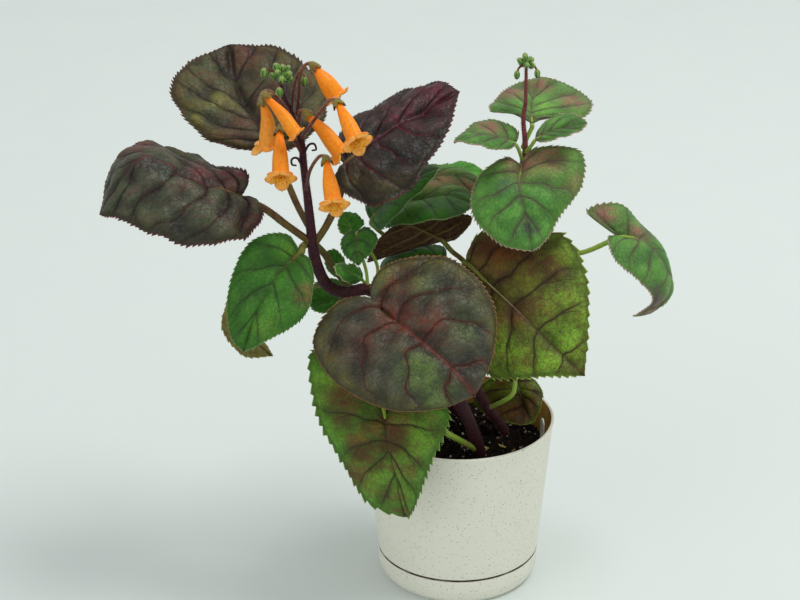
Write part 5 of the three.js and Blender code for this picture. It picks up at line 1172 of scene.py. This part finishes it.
def calyx_piece(name, bloom, materials, seed):
    """The cup with five pointed sepals, on its arching stalk."""
    start, along, lip, side, _ = bloom_axes(bloom)
    sepal = np.abs(np.cos(2.5 * CALYX_TURN)) ** 1.3
    forward = SEPAL_VALLEY[0] + SEPAL_RISE[0] * sepal
    outer = SEPAL_VALLEY[1] + SEPAL_RISE[1] * sepal
    rings = []

    def ring(ahead, radius):
        rings.append(tilted_ring(start, lip, side, along, CALYX_TURN, radius, ahead))

    for ahead, radius in CALYX_RINGS:
        ring(ahead, radius)
    for w in (0.35, 0.7, 1.0):
        ring(CALYX_TOP[0] + (forward - CALYX_TOP[0]) * w, CALYX_TOP[1] + (outer - CALYX_TOP[1]) * w)
    ring(forward + 0.15, outer - 0.3)
    for w in (1.0, 0.5, 0.0):
        ring(CALYX_FLOOR[0] + (forward - CALYX_FLOOR[0]) * w,
             CALYX_FLOOR[1] + (outer - 0.5 - CALYX_FLOOR[1]) * w)
    ends = [start + along * CALYX_RINGS[0][0], start + CALYX_FLOOR[0] * along]
    body = Body()
    points = np.vstack([*rings, ends])
    marks = np.tile([1.0, 0.0, 0.0], (len(points), 1))
    body.add(points, ring_faces(len(rings), CALYX_AROUND), {"tube_place": marks}, 1)
    path = [*bloom["pedicel"], (start - PEDICEL_DEPTH * along).tolist()]
    radii = [PEDICEL_RADIUS] * len(path)
    body.add(*tube(path, radii, 12, 0.9))
    body.add(*tube_hairs(path, radii, 9, 0.8, seed), slot=2)
    rng = np.random.default_rng(seed + 60)
    wall = np.vstack(rings[1:8])
    roots = wall[rng.integers(0, len(wall), CALYX_HAIRS)]
    axis = start + along * ((roots - start) @ along)[:, None]
    body.add(*hairs(roots, roots - axis + 0.6 * rng.normal(0, 1, roots.shape), 0.8, 0.05), slot=2)
    body.make(f"{name}_piece", materials, [name])


corolla_skin = corolla_material("corolla_orange", "ff8a06", "ff9a1c", "ffae54", "fa7e18")
corolla_pale = corolla_material("corolla_pale", "ff9a24", "ffac44", "ffc478", "f49a40")
pedicel_skin = stalk_material("pedicel_skin", "4c1c1c", "86522c", "5a2a1e", "b08060", 0.2)
calyx_skin = stalk_material("calyx_skin", "5a5a20", "7c7426", "6a3a18", "b8a860", 0.15)
for number, bloom in enumerate(BLOOMS):
    skin = corolla_pale if number == 6 else corolla_skin
    corolla_piece(f"corolla_{number + 1}", bloom, [skin], 70 + number)
    calyx_piece(f"calyx_{number + 1}", bloom, [pedicel_skin, calyx_skin, fuzz_pale], 80 + number)


# Buds

BUD_CLUSTERS = {
    "buds_1": dict(seed=3, count=11, core=3, bud=1.9, centre=[-96, -19, 309],
                   hanging=[[-105, -21, 311], [-97, -26, 302]]),
    "buds_2": dict(seed=5, count=8, core=2.4, bud=1.6, centre=[34, 4, 308],
                   hanging=[[29, 2, 302], [40, 4, 302]]),
}
BUD_SPREAD, BUD_LEAN, HEAD_HEIGHT = 1.4, 0.9, 1.2
STALK_RADII = [0.7, 0.6, 0.6]
BUD_HAIRS, BUD_HAIR_WIDTH = 110, 0.045


def seeded(seed):
    """The same small generator as in the part's source, so that the buds have the same sizes."""
    state = seed
    while True:
        state = (state * 1664525 + 1013904223) % 4294967296
        yield state / 4294967296


def bud(centre, length, radius, tilt):
    """A plump bud with a pointed tip, its five sepals parted by grooves."""
    around, rows = 30, 14
    angle = full_turn(around)
    groove = np.abs(np.cos(2.5 * angle)) ** 0.35
    polar = np.linspace(0.12, math.pi - 0.1, rows)
    rings, marks = [], []
    for p in polar:
        wide = math.sin(p) ** 0.9 * (0.84 + 0.16 * groove)
        rise = -math.cos(p)
        rings.append(np.stack([radius * wide * np.cos(angle), radius * wide * np.sin(angle),
                               np.full(around, 0.5 * length * rise)], -1))
        marks.append(np.stack([np.full(around, 0.5 + 0.5 * rise), groove, np.zeros(around)], -1))
    ends = [[0, 0, -0.5 * length], [0, 0, 0.53 * length]]
    points = np.vstack([*rings, ends])
    ca, sa, cb, sb = math.cos(tilt[0]), math.sin(tilt[0]), math.cos(tilt[1]), math.sin(tilt[1])
    turn = np.array([[cb, 0, sb], [0, 1, 0], [-sb, 0, cb]]) @ np.array([[1, 0, 0], [0, ca, -sa], [0, sa, ca]])
    marks = np.vstack([*marks, [[0, 1, 0]], [[1, 1, 0]]])
    return points @ turn.T + np.array(centre), ring_faces(rows, around), {"bud": marks}


def bud_material():
    g = Graph("bud_skin", roughness=0.55)
    velvet(g, 0.15, 0.5, "e8f0d0")
    rise, groove, _ = g.mark("bud")
    base = g.mix(g.step(g.noise(2, detail=3), 0.35, 0.7), "4c8a1e", "72a834")
    # Painted shade: the grooves between the sepals are painted dark brown
    base = g.mix(g.step(groove, 0.45, 0.8, 0.85, 0.0), base, "382a20")
    base = g.mix(g.step(rise, 0.05, 0.4, 0.8, 0.0), base, "402430")
    base = g.mix(g.step(rise, 0.75, 1.0, 0.0, 0.5), base, "a8b860")
    return g.finish(base, g.bump(g.noise(0.4, detail=2), 0.1, 0.7))


bud_skin = bud_material()
for name, cluster in BUD_CLUSTERS.items():
    random = seeded(cluster["seed"])
    centre, core = np.array(cluster["centre"], float), cluster["core"]
    turn = math.pi * (3 - math.sqrt(5))
    parts = [bud(centre, core * 2.2, core, (0, 0))]
    for i in range(cluster["count"]):
        rise = -0.5 + 1.5 * (i + 0.5) / cluster["count"]
        ring = math.sqrt(max(0.08, 1 - rise * rise))
        east, north = ring * math.cos(i * turn), ring * math.sin(i * turn)
        radius = cluster["bud"] * (0.85 + 0.3 * next(random))
        place = centre + core * BUD_SPREAD * np.array([east, north, HEAD_HEIGHT * rise])
        parts.append(bud(place, radius * 2.6, radius, (-north * BUD_LEAN, east * BUD_LEAN)))
    body = Body()
    for place in np.array(cluster["hanging"], float):
        over = centre + 0.75 * (place - centre) + [0, 0, 2.5]
        body.add(*tube([centre, over, place + [0, 0, 1]], STALK_RADII, 8, 0.8), slot=1)
        parts.append(bud(place, cluster["bud"] * 3, cluster["bud"] * 1.05, (0, 0)))
    rng = np.random.default_rng(cluster["seed"])
    for points, faces, marks in parts:
        body.add(points, faces, marks)
        roots = points[rng.integers(0, len(points) - 2, BUD_HAIRS)]
        out = roots - points.mean(axis=0)
        body.add(*hairs(roots, out + 0.8 * rng.normal(0, 1, roots.shape), 0.7, BUD_HAIR_WIDTH), slot=2)
    body.make(f"{name}_piece", [bud_skin, pedicel_skin, fuzz_pale], [name])


# A single bud that hangs from the first stem on its own arching stalk
SIDE_STALK = [[-91, -21, 289], [-90, -21, 300], [-87, -21, 311], [-84, -20, 310], [-84, -20, 307]]
body = Body()
body.add(*tube(SIDE_STALK, STALK_RADII, 10, 0.9), slot=1)
body.add(*tube_hairs(SIDE_STALK, STALK_RADII, 7, 0.7, 95), slot=2)
points, faces, marks = bud((-84, -20, 306), 5.7, 1.9, (0, 0))
body.add(points, faces, marks)
roots = points[np.random.default_rng(96).integers(0, len(points) - 2, BUD_HAIRS)]
body.add(*hairs(roots, roots - points.mean(axis=0), 0.6, BUD_HAIR_WIDTH), slot=2)
body.make("bud_side_piece", [bud_skin, pedicel_skin, fuzz_pale], ["bud_side"])


# Pot and saucer

ROUND = 160
DRAIN_HOLES, DRAIN_RADIUS, DRAIN_RING, CUT_DEPTH = 4, 4, 24, 12
POT_RIM_RADIUS, POT_HEIGHT, POT_WALL = 54, 98, 1.6
SEAM_HEIGHT, SEAM_GAP, SEAM_RADIUS = 15.7, 0.8, 46.2
SAUCER_FOOT, FLOOR, CLEARANCE = 42.5, 2.0, 0.3
SEAM_TOP = SEAM_HEIGHT + SEAM_GAP
FOOT_RADIUS = SEAM_RADIUS - 3.8
FOOT_BEND = SEAM_HEIGHT - 4
UNDERSIDE = FLOOR + CLEARANCE
RIM_LIP, RIM_LIP_HEIGHT = 0.6, 3


def rounded(profile, size):
    """The profile with each inner corner cut to a small arc."""
    rows = [profile[0]]
    for before, corner, after in zip(profile, profile[1:], profile[2:]):
        before, corner, after = (np.array(p, float) for p in (before, corner, after))
        lengths = [np.linalg.norm(before - corner), np.linalg.norm(after - corner)]
        cut = min(size, 0.4 * lengths[0], 0.4 * lengths[1])
        a, b = corner + (before - corner) * cut / lengths[0], corner + (after - corner) * cut / lengths[1]
        rows += [(1 - w) ** 2 * a + 2 * w * (1 - w) * corner + w * w * b for w in (0, 0.25, 0.5, 0.75, 1)]
    return rows + [profile[-1]]


def turned(profile, longest=6.0):
    """A closed round body from a profile of radius and height that starts and ends on the axis."""
    rows = [np.array(profile[0], float)]
    for p in profile[1:]:
        p = np.array(p, float)
        pieces = max(1, math.ceil(np.linalg.norm(p - rows[-1]) / longest))
        rows += [rows[-1] + (p - rows[-1]) * k / pieces for k in range(1, pieces)] + [p]
    inner = np.array(rows[1:-1])
    rings = upright_rings(inner[:, 0], inner[:, 1], full_turn(ROUND))
    points = np.vstack([rings, [[0, 0, rows[0][1]]], [[0, 0, rows[-1][1]]]])
    return points, ring_faces(len(inner), ROUND)


def pot_material():
    """Off-white moulded plastic with fine blue-grey specks, tan inside and brown in the seam."""
    g = Graph("pot_plastic", roughness=0.42, Specular_IOR_Level=0.45)
    x, y, z = g.node("ShaderNodeSeparateXYZ", {0: g.place}).outputs
    radius = g.maths("SQRT", g.maths("ADD", g.times(x, x), g.times(y, y)))
    base = g.mix(g.noise(22, detail=3, roughness=0.6), "ececdd", "e4e4d4")
    specks = g.step(g.cells(1.5), 0.1, 0.26, 1.0, 0.0)
    rare = g.step(g.noise(1.6, detail=1), 0.44, 0.54)
    base = g.mix(g.times(specks, rare), base, "6c7a88")
    tiny = g.step(g.cells(0.7), 0.05, 0.22, 0.55, 0.0)
    base = g.mix(g.times(tiny, g.step(g.noise(0.9), 0.5, 0.62)), base, "a39f8c")
    slope = (POT_RIM_RADIUS - RIM_LIP - SEAM_RADIUS) / (POT_HEIGHT - RIM_LIP_HEIGHT - SEAM_TOP)
    outside = g.maths("ADD", g.times(z, slope), (SEAM_RADIUS - slope * SEAM_TOP) * MM)
    inside = g.step(g.maths("SUBTRACT", outside, radius), 0.9 * MM, 1.3 * MM)
    inside = g.times(inside, g.step(z, (SEAM_TOP + 3) * MM, (SEAM_TOP + 6) * MM))
    base = g.mix(inside, base, g.mix(g.noise(9, detail=4), "a07a34", "b89048"))
    # A dark brown band painted along the seam, broken up by noise
    seam = g.maths("ABSOLUTE", g.maths("SUBTRACT", z, (SEAM_HEIGHT + 0.5 * SEAM_GAP) * MM))
    seam_band = g.step(seam, 0.45 * MM, 0.9 * MM, 1.0, 0.0)
    seam_band_breaks = g.step(g.noise(6, detail=3), 0.3, 0.6, 0.55, 1.0)
    base = g.mix(g.times(seam_band, seam_band_breaks), base, "4a3826")
    normal = g.bump(g.noise(0.8, detail=2), 0.05, 0.5)
    return g.finish(base, normal, g.step(g.noise(7), 0.3, 0.7, 0.38, 0.5))


pot_skin = pot_material()
pot_profile = rounded([
    [0, UNDERSIDE],
    [SAUCER_FOOT - 3, UNDERSIDE],
    [FOOT_RADIUS, FOOT_BEND],
    [FOOT_RADIUS + 0.6, SEAM_TOP],
    [SEAM_RADIUS, SEAM_TOP],
    [POT_RIM_RADIUS - RIM_LIP, POT_HEIGHT - RIM_LIP_HEIGHT],
    [POT_RIM_RADIUS, POT_HEIGHT - RIM_LIP_HEIGHT / 2],
    [POT_RIM_RADIUS, POT_HEIGHT],
    [POT_RIM_RADIUS - POT_WALL, POT_HEIGHT],
    [SEAM_RADIUS - POT_WALL, SEAM_TOP + POT_WALL],
    [FOOT_RADIUS - POT_WALL, FOOT_BEND],
    [SAUCER_FOOT - 3.6 - POT_WALL, UNDERSIDE + FLOOR],
    [0, UNDERSIDE + FLOOR],
], 0.45)
body = Body()
body.add(*turned(pot_profile))
pot_piece = body.make("pot_piece", [pot_skin], ["pot"])

# Four drain holes through the floor
cutter_mesh = bpy.data.meshes.new("drain_cutters")
cutters = bmesh.new()
for k in range(DRAIN_HOLES):
    angle = 2 * math.pi * (k + 0.5) / DRAIN_HOLES
    made = bmesh.ops.create_cone(cutters, cap_ends=True, segments=32, radius1=DRAIN_RADIUS * MM,
                                 radius2=DRAIN_RADIUS * MM, depth=CUT_DEPTH * MM)
    ring = DRAIN_RING * MM
    shift = (ring * math.cos(angle), ring * math.sin(angle), (UNDERSIDE + FLOOR) * MM)
    bmesh.ops.translate(cutters, verts=made["verts"], vec=shift)
cutters.to_mesh(cutter_mesh)
cutters.free()
cutter = new_object("drain_cutters", cutter_mesh)
cut = pot_piece.modifiers.new("drain", "BOOLEAN")
cut.operation = "DIFFERENCE"
cut.solver = "EXACT"
cut.object = cutter
bpy.context.view_layer.update()
cut_mesh = bpy.data.meshes.new_from_object(pot_piece.evaluated_get(bpy.context.evaluated_depsgraph_get()))
pot_piece.modifiers.clear()
pot_piece.data = cut_mesh
bpy.data.objects.remove(cutter)

body = Body()
body.add(*turned(rounded([
    [0, 0],
    [SAUCER_FOOT, 0],
    [SEAM_RADIUS - 1.4, 3.2],
    [SEAM_RADIUS - 0.3, SEAM_HEIGHT / 2],
    [SEAM_RADIUS, SEAM_HEIGHT],
    [SEAM_RADIUS - 2, SEAM_HEIGHT],
    [SEAM_RADIUS - 2.4, SEAM_HEIGHT / 2 + 1],
    [SAUCER_FOOT - 1.8, FLOOR],
    [0, FLOOR],
], 0.5)))
body.make("saucer_piece", [pot_skin], ["saucer"])


# Soil

SOIL_HEIGHT, SOIL_DROP = 88, 8
SOIL_EDGE = 49.0
SOIL_UNDERSIDE = 4.8
# Kind (0 soil, 1 bark, 2 perlite), how many, and their least and greatest size
CRUMBS = ((0, 620, 0.5, 1.5), (1, 170, 0.6, 1.9), (2, 150, 0.4, 1.2))
# Pale stubs by place, length and thickness
STUBS = ((14.3, -22.5, 3.4, 1.5), (24, -19, 2.6, 1.1), (30, -22, 2.2, 0.9))


def soil_height(share):
    return SOIL_HEIGHT - SOIL_DROP * np.maximum(0, 2 * share - 1) ** 2


def crumb(rng, centre, size, squash):
    """A small angular grain."""
    golden = (1 + math.sqrt(5)) / 2
    corners = np.array([(-1, golden, 0), (1, golden, 0), (-1, -golden, 0), (1, -golden, 0),
                        (0, -1, golden), (0, 1, golden), (0, -1, -golden), (0, 1, -golden),
                        (golden, 0, -1), (golden, 0, 1), (-golden, 0, -1), (-golden, 0, 1)]) / 1.9
    faces = [(0, 11, 5), (0, 5, 1), (0, 1, 7), (0, 7, 10), (0, 10, 11), (1, 5, 9), (5, 11, 4), (11, 10, 2),
             (10, 7, 6), (7, 1, 8), (3, 9, 4), (3, 4, 2), (3, 2, 6), (3, 6, 8), (3, 8, 9), (4, 9, 5),
             (2, 4, 11), (6, 2, 10), (8, 6, 7), (9, 8, 1)]
    turn, _ = np.linalg.qr(rng.normal(0, 1, (3, 3)))
    corners = corners * (1 + 0.22 * rng.normal(0, 1, (12, 1)).clip(-1.5, 1.5)) * squash
    return corners @ turn.T * size + centre, [np.array(faces)]


rng = np.random.default_rng(23)
rings, around = 46, 150
share = np.linspace(0, 1, rings + 1)[1:]
angle = full_turn(around)
flat = upright_rings(share * SOIL_EDGE, soil_height(share), angle)
rough = 1.3 * soft_noise(flat, 6, 3) + 0.9 * soft_noise(flat, 2.2, 5) + 0.35 * rng.normal(0, 1, len(flat))
flat[:, 2] += rough * np.repeat(np.minimum(1, 6 * (1 - share) + 0.3), around)
side_rows = [(SOIL_EDGE, 70.0), (SOIL_EDGE - 2.2, 40.0), (43.4, 19.0), (39.5, 18.5), (39.0, 12.0),
             (34.2, SOIL_UNDERSIDE)]
side = upright_rings(*zip(*side_rows), angle)
soil_points = np.vstack([flat, side, [[0, 0, SOIL_HEIGHT]], [[0, 0, SOIL_UNDERSIDE]]])
soil_skin = plain_material("soil_dark", "0c0806", "1a120c", 1.6, 0.95, 0.5, Specular_IOR_Level=0.15)
bark_skin = plain_material("soil_bark", "2a1a10", "4c3220", 1.2, 0.85, 0.3, Specular_IOR_Level=0.2)
perlite_skin = plain_material("soil_perlite", "cfc8b8", "a8a090", 0.9, 0.8, 0.3)
stub_skin = plain_material("soil_stub", "b8a860", "8a7a44", 1.5, 0.7, 0.2)
body = Body()
body.add(soil_points, ring_faces(rings + len(side_rows), around))
for kind, count, low, high in CRUMBS:
    for _ in range(count):
        reach = (SOIL_EDGE - 2.5) * math.sqrt(rng.uniform())
        turn = rng.uniform(0, 2 * math.pi)
        size = rng.uniform(low, high)
        squash = np.array([1, 0.75, 0.55]) if kind != 1 else np.array([1.3, 0.7, 0.35])
        height = soil_height(reach / SOIL_EDGE) + rng.uniform(0.1, 0.9)
        centre = np.array([reach * math.cos(turn), reach * math.sin(turn), height])
        body.add(*crumb(rng, centre, size, squash), slot=kind)
for east, north, length, thick in STUBS:
    centre = np.array([east, north, soil_height(math.hypot(east, north) / SOIL_EDGE) + 0.8])
    body.add(*crumb(rng, centre, thick, np.array([length / thick, 0.9, 0.8])), slot=3)
body.make("soil_piece", [soil_skin, bark_skin, perlite_skin, stub_skin], ["soil"], smooth=False)


# Label: a blank strip with a rounded top and a pointed foot

LABEL_WIDTH, LABEL_THICKNESS, LABEL_HEIGHT, LABEL_POINT = 6, 0.8, 25, 8
LABEL_PLACE, LABEL_TURN, LABEL_BEVEL = (47.5, -2, 72), 1.8, 0.14
half = LABEL_WIDTH / 2
top = [(half * math.cos(a), LABEL_HEIGHT - half + half * math.sin(a)) for a in np.linspace(0, math.pi, 17)]
outline = [(0, 0), (half, LABEL_POINT), *top, (-half, LABEL_POINT)]
label = bmesh.new()
ring = [label.verts.new((x, -LABEL_THICKNESS / 2, z)) for x, z in outline]
front = label.faces.new(ring)
made = bmesh.ops.extrude_face_region(label, geom=[front])
bmesh.ops.translate(label, vec=(0, LABEL_THICKNESS, 0),
                    verts=[v for v in made["geom"] if isinstance(v, bmesh.types.BMVert)])
bmesh.ops.bevel(label, geom=[e for e in label.edges if abs(e.verts[0].co.y - e.verts[1].co.y) < 0.1],
                offset=LABEL_BEVEL, segments=2, affect="EDGES")
bmesh.ops.recalc_face_normals(label, faces=label.faces)
label_mesh = bpy.data.meshes.new("label_piece")
label.to_mesh(label_mesh)
label.free()
turn = np.array([[math.cos(LABEL_TURN), -math.sin(LABEL_TURN), 0],
                 [math.sin(LABEL_TURN), math.cos(LABEL_TURN), 0], [0, 0, 1]])
for vertex in label_mesh.vertices:
    vertex.co = (turn @ np.array(vertex.co) + np.array(LABEL_PLACE)) * MM
label_mesh.materials.append(plain_material("label_plastic", "f0f0ea", "e2e2da", 3.0, 0.45, 0.03))
label_piece = new_object("label_piece", label_mesh)
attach(label_piece, "root")
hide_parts("plant_label")


# Floor and light

FLOOR_HALF = 8.0
floor_mesh = bpy.data.meshes.new("floor")
floor_mesh.from_pydata([(x * FLOOR_HALF, y * FLOOR_HALF, 0) for x, y in ((-1, -1), (1, -1), (1, 1), (-1, 1))],
                       [], [(0, 1, 2, 3)])
floor_graph = Graph("floor_cloth", roughness=0.9, Specular_IOR_Level=0.1)
_, floor_north, _ = floor_graph.node("ShaderNodeSeparateXYZ", {0: floor_graph.place}).outputs
# Painted light: the floor is painted lighter towards the back
floor_painted_light = floor_graph.mix(floor_graph.step(floor_north, -0.2, 1.2), "dae3e0", "e2ebe8")
floor_tone = floor_graph.step(floor_graph.noise(60, detail=5, roughness=0.6), 0.3, 0.7, 0.0, 0.25)
floor_mesh.materials.append(floor_graph.finish(floor_graph.mix(floor_tone, floor_painted_light, "dae4e1")))
floor = new_object("floor", floor_mesh)
floor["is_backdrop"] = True

WORLD_STRENGTH = 0.62
LIT_PLACE = (0, 0, 0.15)
world = bpy.data.worlds.new("studio")
world.use_nodes = True
world.node_tree.nodes["Background"].inputs[0].default_value = (1.0, 1.0, 1.0, 1.0)
world.node_tree.nodes["Background"].inputs[1].default_value = WORLD_STRENGTH
bpy.context.scene.world = world


def softbox(name, place, size, watts, tint):
    """A round soft light that faces the plant."""
    data = bpy.data.lights.new(name, "AREA")
    data.shape = "DISK"
    data.size = size
    data.energy = watts
    data.color = tint
    lamp = new_object(name, data)
    lamp.location = place
    aim = Vector(LIT_PLACE) - Vector(place)
    lamp.rotation_mode = "QUATERNION"
    lamp.rotation_quaternion = aim.to_track_quat("-Z", "Y")


softbox("key", (0.75, -0.15, 2.2), 1.1, 24, (1.0, 0.99, 0.96))
softbox("fill", (-1.5, -1.5, 1.5), 1.4, 5, (1.0, 1.0, 1.0))

size = {"cad": [list(corner) for corner in cad_box], "visual": [list(corner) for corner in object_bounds()]}
